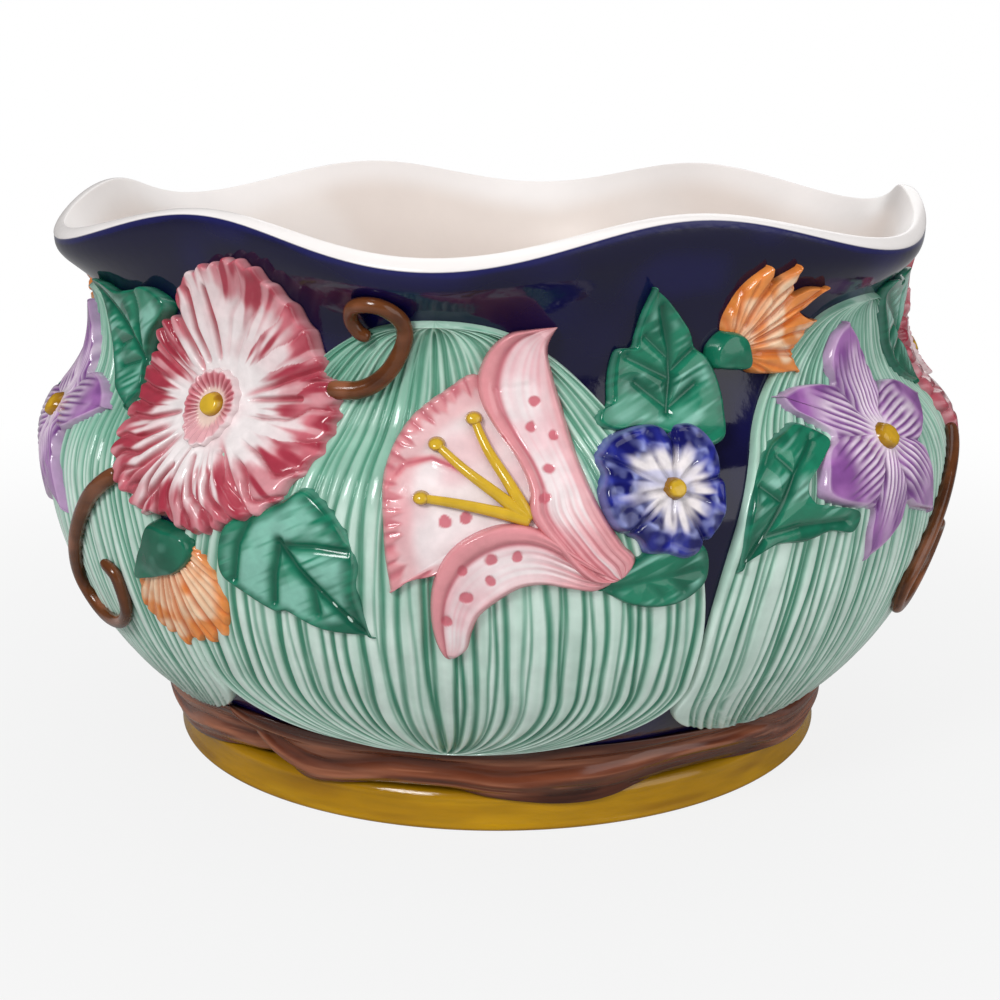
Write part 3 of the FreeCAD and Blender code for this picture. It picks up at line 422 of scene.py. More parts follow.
# Shader nodes.
def fill(tree, node, values):
    """Give a node's inputs their values: constants, or what other nodes put out."""
    for key, value in values.items():
        if isinstance(value, bpy.types.NodeSocket):
            tree.links.new(value, node.inputs[key])
        else:
            node.inputs[key].default_value = value


def add_node(tree, kind, values, output, **settings):
    """Output of a new node."""
    made = tree.nodes.new("ShaderNode" + kind)
    for key, value in settings.items():
        setattr(made, key, value)
    fill(tree, made, values)
    return made.outputs[output]


# Glazes: the painted colour under a clear, slightly uneven coat. Paint of alpha 0 is this much rougher.
DULL = 0.3
GLAZE_IOR, COAT_ROUGH = 1.45, 0.04
# Scales of the noise in the gloss and in the ripples, and the ripples' height in metres.
GLOSS_SCALE, RIPPLE_SCALE, RIPPLE_HIGH = 90, 260, 0.0006


def glaze(name, streak, streak_scale, rough, ripple, coat=0.25, stretch=(1, 1, 1)):
    """Glazed paint; streak is how far brush marks lighten or darken it. The paint's alpha is its gloss."""
    material = bpy.data.materials.new(name)
    material.use_nodes = True
    tree = material.node_tree
    colour = add_node(tree, "Attribute", {}, "Color", attribute_name="paint")
    alpha = colour.node.outputs["Alpha"]
    place = add_node(tree, "TexCoord", {}, "Object")
    fitted = add_node(tree, "Mapping", {"Vector": place, "Scale": stretch}, "Vector")

    def noise(scale, detail):
        return add_node(tree, "TexNoise", {"Vector": fitted, "Scale": scale, "Detail": detail}, "Fac")

    marks = add_node(tree, "MapRange", {
        "Value": noise(streak_scale, 5), "From Min": 0.3, "From Max": 0.7,
        "To Min": 1 - streak, "To Max": 1 + streak * 0.6}, "Result")
    gloss = add_node(tree, "MapRange", {
        "Value": noise(GLOSS_SCALE, 3),
        "To Min": rough * 0.7 + DULL, "To Max": rough * 1.5 + DULL}, "Result")
    tint = add_node(tree, "VectorMath", {0: colour, "Scale": marks}, "Vector", operation="SCALE")
    gloss = add_node(tree, "Math", {0: alpha, 1: -DULL, 2: gloss}, "Value", operation="MULTIPLY_ADD")
    ripples = add_node(tree, "Bump", {
        "Strength": ripple, "Distance": RIPPLE_HIGH, "Height": noise(RIPPLE_SCALE, 3)}, "Normal")
    fill(tree, tree.nodes["Principled BSDF"], {
        "IOR": GLAZE_IOR, "Coat Weight": coat, "Coat Roughness": COAT_ROUGH,
        "Base Color": tint, "Roughness": gloss, "Normal": ripples})
    return material


GLAZES = {name: glaze(name, *looks) for name, looks in {
    "cobalt_glaze": (0.04, 30, 0.09, 0.1, 0.0),
    "ochre_glaze": (0.14, 60, 0.13, 0.15, 0.15, (1, 1, 7)),
    "mint_glaze": (0.12, 120, 0.16, 0.2),
    "bark_glaze": (0.2, 160, 0.15, 0.25, 0.1, (0.4, 0.4, 2)),
    "rose_glaze": (0.12, 220, 0.14, 0.2),
    "blush_glaze": (0.1, 220, 0.14, 0.2),
    "blue_glaze": (0.2, 260, 0.13, 0.15, 0.15),
    "violet_glaze": (0.12, 240, 0.16, 0.2),
    "orange_glaze": (0.14, 240, 0.16, 0.2),
    "leaf_glaze": (0.16, 180, 0.15, 0.12, 0.2),
}.items()}


# Bowl: floor, inside wall, rounded lip edge and outside, as one turned and waved shell. These are the
# columns and rows of its mesh, and the start, run and lean of the fillet between wall and floor.
BOWL_COLUMNS = 324
FLARE_ROWS, WALL_ROWS, FILLET_ROWS, FLOOR_ROWS, CROWN_ROWS = 62, 68, 8, 12, 17
FILLET_RISE, FILLET_RUN, FILLET_LEAN = 5, 7, 3


def bowl_body():
    angle = np.linspace(0, 2 * pi, BOWL_COLUMNS, endpoint=False)[None]
    edge_r, edge_z = rim(angle)
    run, rise = edge_r - NECK_R, edge_z - NECK_Z
    share = np.linspace(1, 0, FLARE_ROWS)[:, None]
    lip_z = NECK_Z + rise * share
    low_z = np.linspace(NECK_Z, BASE_Z, WALL_ROWS)[1:, None] * np.ones(angle.shape)
    z = np.vstack([lip_z, low_z])
    outer = polar(angle, outside(angle, z), z)
    inset, lean = WALL + (LIP_WALL - WALL) * share, np.arctan2(2 * run * share, rise)
    flared = polar(angle, NECK_R + run * share ** 2 - inset * np.cos(lean), lip_z + inset * np.sin(lean))
    out, up = slope(angle, low_z)
    walled = polar(angle, outside(angle, low_z) - WALL * out, low_z - WALL * up)
    walled = walled[walled[:, 0, 2] > FLOOR_Z + FILLET_RISE]
    corner_r = np.hypot(walled[-1, :, 0], walled[-1, :, 1])[None]
    drop = walled[-1, 0, 2] - FLOOR_Z
    bend = np.linspace(0, pi / 2, FILLET_ROWS)[1:, None]
    fillet_r = corner_r - FILLET_RUN * (1 - np.cos(bend)) - FILLET_LEAN * np.sin(bend)
    fillet = polar(angle, fillet_r, FLOOR_Z + drop * (1 - np.sin(bend)))
    floor_r = (corner_r - FILLET_RUN - FILLET_LEAN) * np.linspace(1, 0, FLOOR_ROWS)[1:, None]
    floor = polar(angle, floor_r, FLOOR_Z + 0 * angle)
    turn = np.linspace(0, pi, CROWN_ROWS)[1:-1, None, None]
    across = flared[:1] - outer[:1]
    face = across / np.linalg.norm(across, axis=-1)[..., None]
    upward = polar(angle, face[..., 2], np.hypot(face[..., 0], face[..., 1]))
    crown = outer[:1] + across * (1 - np.cos(turn)) / 2 + upward * LIP_CROWN * np.sin(turn)
    rings = ((SEAT_R, FOOT_Z), (SPIGOT_R, FOOT_Z), (SPIGOT_R, SPIGOT_Z), (0, SPIGOT_Z))
    under = [polar(angle, r + 0 * angle, h) for r, h in rings]
    inside = np.concatenate([floor[::-1], fillet[::-1], walled[::-1], flared[::-1]])
    points = np.concatenate([inside, crown[::-1], outer, *under])

    tint = np.zeros(points.shape)
    tint[:] = COBALT
    inner_end, crown_end = len(inside), len(inside) + len(crown)
    haze = grain(inside[..., 0] + 0.7 * inside[..., 2], inside[..., 1] + 0.4 * inside[..., 2], 34, 3)
    # Inside, the cream turns white towards the lip edge: partly the white lip glaze running down, partly
    # painted light on the lip's inner face; the gloss rises with it.
    lipward_white_and_light = 0.9 * ramp(11, 1, edge_z - inside[..., 2])
    tint[:inner_end] = mix(mix(CREAM, CREAM_PALE, ramp(0.3, 0.8, haze)), LIP_WHITE, lipward_white_and_light)
    tint[inner_end:crown_end] = LIP_WHITE
    below = edge_z - z
    ragged = 0.6 * ring_grain(angle, 0 * angle, 5, 90, 8)
    pool = ring_grain(angle + 0 * below, below, 14, 57, 5)
    sheet = mix(COBALT, COBALT_LIT, 0.6 * ramp(0.4, 0.9, pool))
    # Just under the white lip the cobalt turns to a brighter blue band: partly thinner glaze, partly a
    # painted highlight on the lip's rounding.
    thin_and_lit = 0.7 - 0.7 * ramp(0.3, 1.5, below - ragged)
    tint[crown_end:crown_end + len(outer)] = mix(sheet, COBALT_THIN_AND_LIT, thin_and_lit)
    tint[crown_end - 1] = mix(LIP_WHITE, COBALT_THIN_AND_LIT, 0.5 + 0 * angle[0])
    shine = np.ones(points.shape[:2] + (1,))
    shine[:inner_end] = 0.3 * lipward_white_and_light[..., None]
    shine[inner_end:crown_end] = 0.6
    painted = np.concatenate([tint, shine], axis=-1)
    piece("bowl_body", [(points, painted, False)], "cobalt_glaze")


# Foot: columns and rows of its mesh, then the rounding of its resting edge, the depth of its waist, a ring
# on its top, and how far it stays inside the solid.
FOOT_COLUMNS, FOOT_BEND_ROWS, FOOT_SIDE_ROWS, FOOT_BORE_ROWS, FOOT_REST_ROWS = 480, 9, 12, 8, 6
FOOT_TOE, FOOT_WAIST, FOOT_TOP_R, FOOT_SLACK = 1.4, 0.5, 100.0, 0.2


def foot_ring():
    """Turned ring with a rounded top edge, a soft waist and a worn resting edge."""
    angle = np.linspace(0, 2 * pi, FOOT_COLUMNS, endpoint=False)[None]
    bend = np.linspace(0, pi / 2, FOOT_BEND_ROWS)[:, None]
    side_z = np.linspace(FOOT_TOE, FOOT_Z - FOOT_ROUND, FOOT_SIDE_ROWS)[1:, None]
    bore_z = np.linspace(FOOT_Z, 0, FOOT_BORE_ROWS)[1:, None]
    rest_r = np.linspace(FOOT_BORE, FOOT_R - FOOT_TOE, FOOT_REST_ROWS)[1:-1, None]
    toe = [FOOT_R - FOOT_TOE + FOOT_TOE * np.sin(bend), FOOT_TOE - FOOT_TOE * np.cos(bend)]
    side = [FOOT_R - FOOT_WAIST * np.sin(pi * side_z / FOOT_Z), side_z]
    top = [FOOT_R - FOOT_ROUND + FOOT_ROUND * np.cos(bend), FOOT_Z - FOOT_ROUND + FOOT_ROUND * np.sin(bend)]
    profile = np.vstack([
        np.hstack(toe), np.hstack(side), np.hstack(top)[1:], [[FOOT_TOP_R, FOOT_Z], [FOOT_BORE, FOOT_Z]],
        np.hstack([FOOT_BORE + 0 * bore_z, bore_z]), np.hstack([rest_r, 0 * rest_r])])
    r, z = profile[:, :1] + 0 * angle, profile[:, 1:] + 0 * angle
    wobble = 0.35 * (ring_grain(angle, z, 22, 31, 11) - 0.5) * ramp(0.5, 3, z)
    points = polar(angle, r + wobble - FOOT_SLACK, z)
    stroke = ring_grain(angle, z * 9, 28, 24, 12)
    tint = coats(
        OCHRE, (OCHRE_DARK, 0.7 * ramp(0.5, 0.9, stroke)),
        (OCHRE_PALE, 0.6 * ramp(0.55, 0.95, ring_grain(angle, z * 6, 18, 38, 13))),
        # Painted shade: darker towards the top of the foot, under the bark and the bowl's base.
        (FOOT_PAINTED_SHADE, 0.5 * ramp(9.5, 13, z)),
        (FOOT_WORN, ramp(0.6, 0.0, z)))
    piece("foot_ring", [(points, tint, True)], "ochre_glaze")


# Fan leaf panel: grooves run like meridians between its tips. Ways up the bowl are counted from its foot.
PANEL_SHRINK, PANEL_END = 76.0, 172.0
PANEL_HALF = 29.9
# Where a panel starts and is full, how blunt its lower end is, how far that end spreads, and where its
# grooves would meet. Every other panel has a broad lower end round the slim end of its neighbours.
PANEL_LOW = ((34.0, 58.0, 0.25, 1.6, 18.0), (35.6, 65.0, 0.42, 0.0, 35.6))
# Way up to where a broad end spreads most, and how far up and down it does.
PANEL_SPREAD_AT, PANEL_SPREAD = 50, 9
PANEL_LOW_ROWS, PANEL_HIGH_ROWS = 50, 150
PANEL_THICK = 2.3
PANEL_ROLL = 1.2
PANEL_TURN = RIM_TURN - 180 / WAVES
# Way up to the bowl's base, the share of a panel that its rolled edges leave, and the least half width.
PANEL_BASE_WAY, PANEL_FLAT, PANEL_LEAST = 27.0, 0.985, 1e-5
MERIDIAN_SPAN, MERIDIAN_STEPS = (10, 165), 1200
GROOVES = 46
GROOVE_DEEP, GROOVE_WIDE = 1.1, 0.9
# Mesh columns at and beside each groove, as shares of a panel's half width in millimetres.
PANEL_HALF_MM = 76
GROOVE_STEPS = np.linspace(-1.5, 1.5, 7) * GROOVE_WIDE / PANEL_HALF_MM


def meridian():
    """Heights on the bowl's outside, with the way from the foot up to each."""
    z = np.linspace(*MERIDIAN_SPAN, MERIDIAN_STEPS)
    r = outside(radians(PANEL_TURN), z)
    way = np.concatenate([[0], np.cumsum(np.hypot(np.diff(r), np.diff(z)))])
    start = np.interp(BASE_Z, z, way)
    return z, way - start + PANEL_BASE_WAY


def fan_leaf(number):
    rng = np.random.default_rng(40 + number)
    heights, way = meridian()
    start, full, blunt, wide, meet = PANEL_LOW[number % 2]
    lower = start + (full - start) * (1 - np.cos(np.linspace(0, pi / 2, PANEL_LOW_ROWS)))
    upper = PANEL_END - (PANEL_END - full) * (1 - np.sin(np.linspace(0, pi / 2, PANEL_HIGH_ROWS)))[1:]
    s = np.concatenate([lower, upper])[:, None]
    low = np.clip((full - s) / (full - start), 0, 1)
    high = np.clip((s - PANEL_SHRINK) / (PANEL_END - PANEL_SHRINK), 0, 1)
    narrow = np.sqrt(1 - high ** 1.9)
    widest = np.radians(PANEL_HALF + wide * bump(s - PANEL_SPREAD_AT, PANEL_SPREAD))
    half = np.maximum(widest * (1 - low ** 2) ** blunt * narrow, PANEL_LEAST)
    z = np.interp(s, way, heights)
    half_mm = half * outside(0.0, z)
    ahead = np.clip((full - s) / (full - meet), 0, 1)
    grooved = np.maximum(radians(PANEL_HALF) * (1 - ahead ** 2) ** 0.42 * narrow, PANEL_LEAST)
    places = np.sort(np.linspace(-0.96, 0.96, GROOVES) + rng.uniform(-0.016, 0.016, GROOVES))
    strength = rng.uniform(0.4, 1.0, GROOVES)
    width = rng.uniform(0.55, 1.0, GROOVES) * (0.65 + 0.5 * strength)
    stride = np.where(np.arange(GROOVES) % 4 == 0, 4, np.where(np.arange(GROOVES) % 2 == 0, 2, 1))
    lines = np.append((places[:, None] + GROOVE_STEPS).ravel(), (places[1:] + places[:-1]) / 2)
    lines = np.append(lines, [-PANEL_FLAT, PANEL_FLAT])
    inner = np.unique(np.clip(lines, -PANEL_FLAT, PANEL_FLAT))
    t, fall = rolled(1 - np.minimum(PANEL_ROLL / half_mm, 0.5), inner / PANEL_FLAT)
    fall = fall * np.sqrt(np.clip(half_mm / 2.4, 0, 1))
    grooved_mm = grooved * outside(0.0, z)
    spacing = 2 * grooved_mm / GROOVES
    lane = t * half / grooved
    cut = np.zeros(t.shape)
    for at, deep, broad, every in zip(places, strength, width, stride):
        alive = ramp(0.9, 1.7, spacing * every) * deep
        spread_t = np.minimum(broad / grooved_mm, 0.3 * every * 2 / GROOVES)
        wander = 0.006 * np.sin(s / 17 + 40 * at) + 0.003 * np.sin(s / 6 + 90 * at)
        cut = np.maximum(cut, alive * bump(lane - at - wander, spread_t))
    swell = 0.25 * np.sin(t * 9 + 2 * number) * ramp(0, 1, half_mm / 40)
    height = PANEL_THICK + swell * 0.3 - GROOVE_DEEP * cut
    height = ROOT + (height - ROOT) * fall
    along = s * np.ones(t.shape)
    wash = grain(t * 50 + 90 * number, along, 16, 60 + number)
    streak = grain(t * 190, along / 9, 4, 70 + number)
    dry = 0.7 + 0.5 * grain(t * 120, along / 12, 1, 80 + number)
    # Paler towards the foot and greener towards the top: partly the glaze's own wash, partly painted light
    # standing in for light thrown up from the floor.
    tint = coats(
        MINT_PALE, (MINT, 0.04 + 0.6 * ramp(74, 145, along) + 0.7 * (streak - 0.45)),
        (MINT_WASH, 0.6 * ramp(0.45, 0.9, wash) * ramp(66, 130, along)),
        (MINT_WASH, 0.6 * ramp(0.06, 0.4, cut)),
        (MINT_DEEP, 0.92 * ramp(0.15, 0.8, cut * dry) * (1 - 0.3 * ramp(84, 130, along))),
        (MINT, 0.5 * (1 - fall)))
    back = BACK * np.ones(s.shape)
    angle = radians(PANEL_TURN + 360 / WAVES * (number - 1)) + half * np.hstack([t, back])
    height = np.hstack([height, np.full(back.shape, ROOT)])
    points = over(angle, z * np.ones(angle.shape), height)
    piece(f"fan_leaf_{number}", [(points, backed(tint), False)], "mint_glaze")


# Bark branch: (angle, height) of its upper and lower edges, from its thick head to its tail.
BRANCH_TOP = [(-40.5, 33.5), (-36, 32.8), (-31, 31), (-24, 29.8), (-14, 29.6), (0, 29.2), (8.5, 29.4),
              (19, 29.4), (30, 29.4), (40, 28.4), (52, 28.2), (62, 29), (72, 30), (82, 31)]
BRANCH_FOOT = [(-40.5, 33.5), (-41, 28), (-39.5, 21), (-36, 14.5), (-31, 10.8), (-26, 11.2), (-18, 13),
               (-8, 13.2), (-1.5, 11.2), (4, 9.8), (9, 8.8), (14, 8.7), (18, 9.8), (22, 11.8), (28, 13.4),
               (36, 13), (46, 11), (58, 9), (66, 10.5), (74, 13), (82, 15)]
BRANCH_STEP = radians(1) * BASE_R
BRANCH_ROWS, BRANCH_COLUMNS = 460, 64
# Shares of the way from the upper to the lower edge where the columns of its back lie.
BRANCH_BACK = np.array([[0.75, 0.5, 0.25]])
# Gaps under the bark's face and under its back.
BRANCH_GAP, BRANCH_BACK_GAP = 0.15, 0.05


def branch_ground(z):
    """Radius of what the bark lies on: the foot's side and rounded edge, and the bottom of the bowl."""
    bend = np.clip(z - FOOT_Z + FOOT_ROUND, 0, FOOT_ROUND)
    foot = FOOT_R - FOOT_ROUND + np.sqrt(FOOT_ROUND ** 2 - bend ** 2)
    base = SEAT_R + (BASE_R - SEAT_R) * (z - FOOT_Z) / (BASE_Z - FOOT_Z)
    return np.where(z > BASE_Z, outside(0.0, z), np.where(z > FOOT_Z, base, foot))


def bark_branch(number):
    top = open_curve([(a * BRANCH_STEP, z) for a, z in BRANCH_TOP], BRANCH_ROWS)
    foot = open_curve([(a * BRANCH_STEP, z) for a, z in BRANCH_FOOT], BRANCH_ROWS)

    def between(share):
        return [top[:, k:k + 1] * (1 - share) + foot[:, k:k + 1] * share for k in range(2)]

    turn = np.linspace(0, pi, BRANCH_COLUMNS)[None]
    share = (1 - np.cos(turn)) / 2
    x, z = between(share)
    s, v = np.linspace(0, 1, BRANCH_ROWS)[:, None] * np.ones(z.shape), share * np.ones(z.shape)
    seed = 80 + 7 * number
    drift = 0.35 * (grain(x, 0 * x, 26, seed) - 0.5)
    strand = np.maximum(bump(v + drift - 0.28 - 0.1 * np.sin(x / 21 + 1), 0.17),
                        bump(v + drift - 0.70 - 0.09 * np.sin(x / 26 + 2.4), 0.18))
    knot = bump(np.hypot((x - 22) / 14, (v - 0.66) / 0.3), 1)
    streak = grain(x / 36, v * 6 + 3 * drift, 0.6, seed + 1)
    fine = grain(x / 22, v * 15 + 5 * drift, 0.8, seed + 2)
    head = ramp(0.2, 0.04, s)
    tail = 1 - 0.7 * ramp(0.86, 1.0, s)
    body = np.sin(turn) ** 0.55 * np.sqrt(np.clip(s * 26, 0, 1)) * np.sqrt(np.clip((1 - s) * 40, 0, 1))
    thick = 1.2 + 2.1 * strand + 0.8 * knot + 0.5 * (streak - 0.5) + 0.35 * (fine - 0.5) + 1.1 * head
    bare = branch_ground(z)
    full = FOOT_R + (BASE_R - FOOT_R) * ramp(11, BASE_Z, z)
    radius = bare + BRANCH_GAP + body * (np.maximum(full - bare, 0) + thick * tail)
    dark = 0.75 * (1 - strand) ** 2 + 0.35 * ramp(0.42, 0.2, streak) + 0.2 * ramp(0.4, 0.15, fine)
    scratch = ramp(0.72, 0.84, grain(x / 30, v * 34 + 5 * drift, 0.8, seed + 3))
    tint = coats(
        BARK, (BARK_PALE, 0.85 * strand * ramp(0.42, 0.75, streak) + 0.25 * knot * fine),
        (BARK_DARK, dark),
        (BARK_PALE, 0.5 * scratch * ramp(0.25, 0.6, strand)),
        (BARK_DARK, 0.55 * ramp(0.6, 0.2, body) + 0.6 * ramp(0.5, 0.12, v)))
    turned = radians(360 / COPIES * (number - 1))
    front = polar(x / BASE_R + turned, radius, z)
    rear_x, rear_z = between(BRANCH_BACK)
    rear = polar(rear_x / BASE_R + turned, branch_ground(rear_z) + BRANCH_BACK_GAP, rear_z)
    points = np.concatenate([front, rear], axis=1)
    piece(f"bark_branch_{number}", [(points, backed(tint), False)], "bark_glaze")


def petal_of(u, v, centre, notches):
    """Petal number at each point, share of the way across it, distance from the middle, petal's angle."""
    edges = np.sort(np.radians(notches) % (2 * pi))
    turn = (np.arctan2(v - centre[1], u - centre[0]) - edges[0]) % (2 * pi)
    starts = edges - edges[0]
    widths = np.diff(np.append(starts, 2 * pi))
    index = np.clip(np.searchsorted(starts, turn, side="right") - 1, 0, len(edges) - 1)
    across = (turn - starts[index]) / widths[index]
    return index, across, np.hypot(u - centre[0], v - centre[1]), widths[index]


# Mallow: five ruffled petals, a ribbed collar and a yellow eye. An eye has a middle and half sizes.
MALLOW_MIDDLE = (2.0, 0.0)
MALLOW_COLLAR = (1.6, -0.2)
MALLOW_EYE = ((2, 0.4), (4.4, 4.0))
MALLOW_NOTCHES = (22, 122, 150, 233, 311)
# For each petal, how deep its pleats are and how far out its white reaches.
MALLOW_PLEATED = np.array([0.22, 0.9, 1.0, 1.0, 0.8])
MALLOW_WHITE_TO = np.array([0.82, 0.66, 0.66, 0.70, 0.62])
MALLOW_FOLDS = [
    [(-8, 30), (-6, 20), (-2, 12)], [(-1, 31), (1, 22), (2, 13)], [(3, -14), (6, -24), (14, -29)],
    [(14, 3), (30, 5)], [(-3, -17), (-8, -24), (-13.5, -30)], [(-9, -13), (-19, -23)],
    [(11, -12), (16, -19), (22, -24)], [(-10, -3), (-20, -6), (-27, -6)]]
MALLOW_OUTLINE = [
    (-13.5, 24), (-13, 29.5), (-10, 33), (-4, 36.5), (4, 38), (11, 39.5), (18, 37.5), (22, 34), (26.5, 30),
    (28, 27), (31, 24), (31.5, 20.5), (34, 17), (35, 12.5), (38.5, 9.5), (40, 3), (40.2, -4), (39.5, -10),
    (36.5, -15), (33.5, -20), (30, -25), (25.5, -27.5), (20, -29), (15.5, -32), (10, -34), (4, -34.2),
    (-1, -33), (-3.5, -31), (-10, -32), (-16, -31.5), (-20.5, -27.5), (-24.5, -26), (-28.5, -20),
    (-31, -14), (-32, -6), (-30, 0), (-30.5, 6), (-28, 11), (-25.5, 14), (-24, 18), (-21, 21.5), (-16, 23)]


def mallow_flower(site, seed):
    outline = closed_curve(MALLOW_OUTLINE, count=680) - np.array(MALLOW_MIDDLE)
    turn = np.arctan2(outline[:, 1], outline[:, 0])
    ruffle = 1 + 0.016 * np.sin(41 * turn + 2.5 * np.sin(5 * turn + seed))
    outline = outline * ruffle[:, None] + np.array(MALLOW_MIDDLE)

    def folds(rho, u, v):
        index, across, r, wide = petal_of(u, v, MALLOW_MIDDLE, MALLOW_NOTCHES)
        count = np.round(wide / radians(11))
        phase = across * count + 1.3 * (grain(across * 9 + 20 * index, r, 8, seed) - 0.5)
        lot = ramp(0.2, 0.8, grain(np.round(phase) * 3.1 + 17 * index, 0 * r, 1, seed + 1))
        begin = 0.2 + 0.5 * ramp(0.2, 0.8, grain(np.round(phase) * 5.3 + 29 * index, 0 * r, 1, seed + 8))
        stroke = grain(np.floor(phase) * 2.7 + 23 * index, 0 * r, 1, seed + 5)
        round_ridge = 1 - (2 * (phase - np.floor(phase)) - 1) ** 2
        gap = np.abs(phase - np.round(phase)) * wide / count * r
        crease = bump(gap, 0.35 + 0.5 * lot) * (0.5 + 0.5 * lot) * ramp(begin, begin + 0.2, rho)
        long_fold = np.max([bump(line_gap(u, v, fold), 0.75) for fold in MALLOW_FOLDS], axis=0)
        brush = grain(across * wide * 30 + 40 * index, r / 6, 1.4, seed + 9)
        seam = bump(np.minimum(across, 1 - across) * wide * r, 0.9)
        pleated = MALLOW_PLEATED[index]
        crease = np.maximum(crease * pleated, long_fold)
        return index, across, crease, seam, round_ridge * pleated, 0.4 * stroke + 0.6 * brush

    def relief(rho, u, v):
        _, across, crease, seam, ridge, _ = folds(rho, u, v)
        cup = 3.7 + 1.1 * ramp(0.2, 0.8, rho) + 0.6 * ridge * ramp(0.3, 0.6, rho)
        lap = 0.9 * (across - 0.5) * ramp(0.3, 0.7, rho)
        wave = 0.8 * (grain(u, v, 5, seed + 2) - 0.5) * ramp(0.45, 0.95, rho)
        cut = 2.0 * crease * ramp(0.26, 0.45, rho) + 1.6 * seam * ramp(0.3, 0.55, rho)
        return np.minimum(cup + lap + wave - cut, 6.5)

    def paint(rho, u, v):
        index, across, crease, seam, _, stroke = folds(rho, u, v)
        cloud, dapple = grain(u, v, 8, seed + 3), grain(u, v, 2.2, seed + 4)
        right = 0.14 * (index == 0) * ramp(0.75, 0.35, across)
        edge = rho - MALLOW_WHITE_TO[index] + right + 0.5 * (stroke - 0.5)
        edge = edge + 0.26 * (cloud - 0.5) + 0.06 * (dapple - 0.5)
        rose = ramp(-0.1, 0.17, edge)
        lines = np.maximum(crease, seam)
        return coats(
            WHITE, (BLUSH, 0.3 * ramp(0.4, 0.8, rho) + 0.3 * ramp(0.5, 0.9, cloud)),
            (ROSE, 0.95 * rose),
            (ROSE_DEEP, 0.9 * rose * ramp(0.36, 0.62, 0.5 * cloud + 0.5 * stroke)),
            (BLUSH, 0.6 * ramp(0.46, 0.3, stroke) * rose),
            (ROSE_DEEP, 0.85 * lines * ramp(0.42, 0.62, rho)),
            (ROSE, 0.7 * lines * ramp(0.26, 0.42, rho)),
            (BLUSH, 0.5 * ramp(0.975, 1.0, rho)))

    turn = np.linspace(0, 2 * pi, 288, endpoint=False)
    frill = 1 + 0.03 * np.cos(16 * turn) + 0.05 * np.sin(3 * turn + seed)
    frilled = np.stack([9.4 * frill * np.cos(turn), 11 * frill * np.sin(turn)], axis=1)

    def ribs(u, v):
        turn = np.arctan2(v - MALLOW_COLLAR[1], u - MALLOW_COLLAR[0])
        return np.abs(np.sin(14 * turn + 1.2 * np.sin(2 * turn + seed))) ** 3

    def collar_relief(rho, u, v):
        ribbed = ribs(u, v) * ramp(0.4, 0.6, rho) * ramp(0.95, 0.85, rho)
        return 4.5 + 1.5 * ramp(0.35, 0.85, rho) - 0.6 * ribbed

    def collar_paint(rho, u, v):
        cloud = grain(u, v, 5, seed + 6)
        ribbed = ribs(u, v) * ramp(0.42, 0.55, rho) * ramp(0.92, 0.8, rho)
        return coats(
            PEACH, (BLUSH, ramp(0.4, 0.6, rho)),
            (ROSE, 0.7 * ramp(0.5, 0.7, rho) * ramp(0.35, 0.75, cloud)),
            (ROSE_DEEP, 0.7 * ribbed * ramp(0.1, 0.6, cloud)),
            (WHITE, 0.7 * ramp(0.86, 0.93, rho)))

    def eye_paint(rho, u, v):
        cloud = grain(u, v, 2.2, seed + 7)
        return mix(YELLOW, YELLOW_DEEP, ramp(0.6, 0.95, rho) + 0.7 * ramp(0.5, 0.75, cloud))

    collar = frilled + np.array(MALLOW_COLLAR)
    return [dome(site, outline, MALLOW_MIDDLE, relief, paint, roll=1.7, rings=60),
            dome(site, collar, MALLOW_COLLAR, collar_relief, collar_paint, roll=1.2, rings=24),
            bead(site, *MALLOW_EYE, knob(6.9, 0.9), eye_paint)]


# Lily: a frilled trumpet, an upper and a lower petal that curl over it, and three stamens.
LILY_MIDDLE = (8, 0)
LILY_FOLD = [(-25, 5), (-20, 11), (-13, 12.5), (-4, 9)]
LILY_TRUMPET = [(-2, 34), (-10, 30), (-18, 24), (-23, 17), (-25.5, 10), (-26, 3), (-25.6, -5),
                (-25.2, -13), (-24, -22), (-24, -22), (-19, -19.5), (-13, -18), (-4, -15), (8, -13),
                (18, -11), (20, 0), (14, 14), (6, 26)]
LILY_UPPER_LEFT = [(36, -19), (27, -19), (18, -10), (12, -2), (11.5, 5), (8.5, 12), (3, 19.5), (-1, 26.5),
                   (-2, 33), (1, 40), (6, 44.2), (12, 45.4), (19, 46)]
LILY_UPPER_RIGHT = [(36, -19), (39.5, -13.5), (36, -9), (32, -3), (28, 4.5), (25, 11.5), (22.5, 18.5),
                    (20.5, 25), (18.6, 31), (17.2, 36), (16.4, 40), (17.2, 43), (19, 46)]
LILY_LOWER_TOP = [(35, -19), (24, -11), (14, -4.6), (5, -3.6), (-4, -7), (-10, -12.5), (-13, -20),
                  (-13.6, -28), (-12.6, -35), (-10.5, -39.6), (-8, -41)]
LILY_LOWER_FOOT = [(35, -19), (29, -22), (22, -21.2), (16, -20.2), (10, -21), (4, -24.6), (-0.6, -28.6),
                   (-2.6, -33), (-4, -38), (-8, -41)]
LILY_UPPER_SPOTS = [(13, 27), (12, 20.5), (17.8, 18.3), (17, 10), (4.5, 16.8), (7, 11.8), (16, 3)]
LILY_LOWER_SPOTS = [(2.4, -13), (2.2, -18.5), (-5, -16), (-4, -23), (-9, -29.3), (9, -12)]
LILY_INNER_SPOTS = [(-9.3, -3.2), (-4, -2.4)]
LILY_CREASE = [(3, 30), (11.5, 31)]
STAMEN_TIP = (2.6, 2.2)
STAMENS = [[(12.5, -3), (7, 6), (1, 15), (-2.5, 22.5)], [(12.5, -3), (4, 3.5), (-5, 10), (-12, 16)],
           [(12.5, -3), (3, -0.6), (-7, 1.4), (-15.5, 2.6)]]


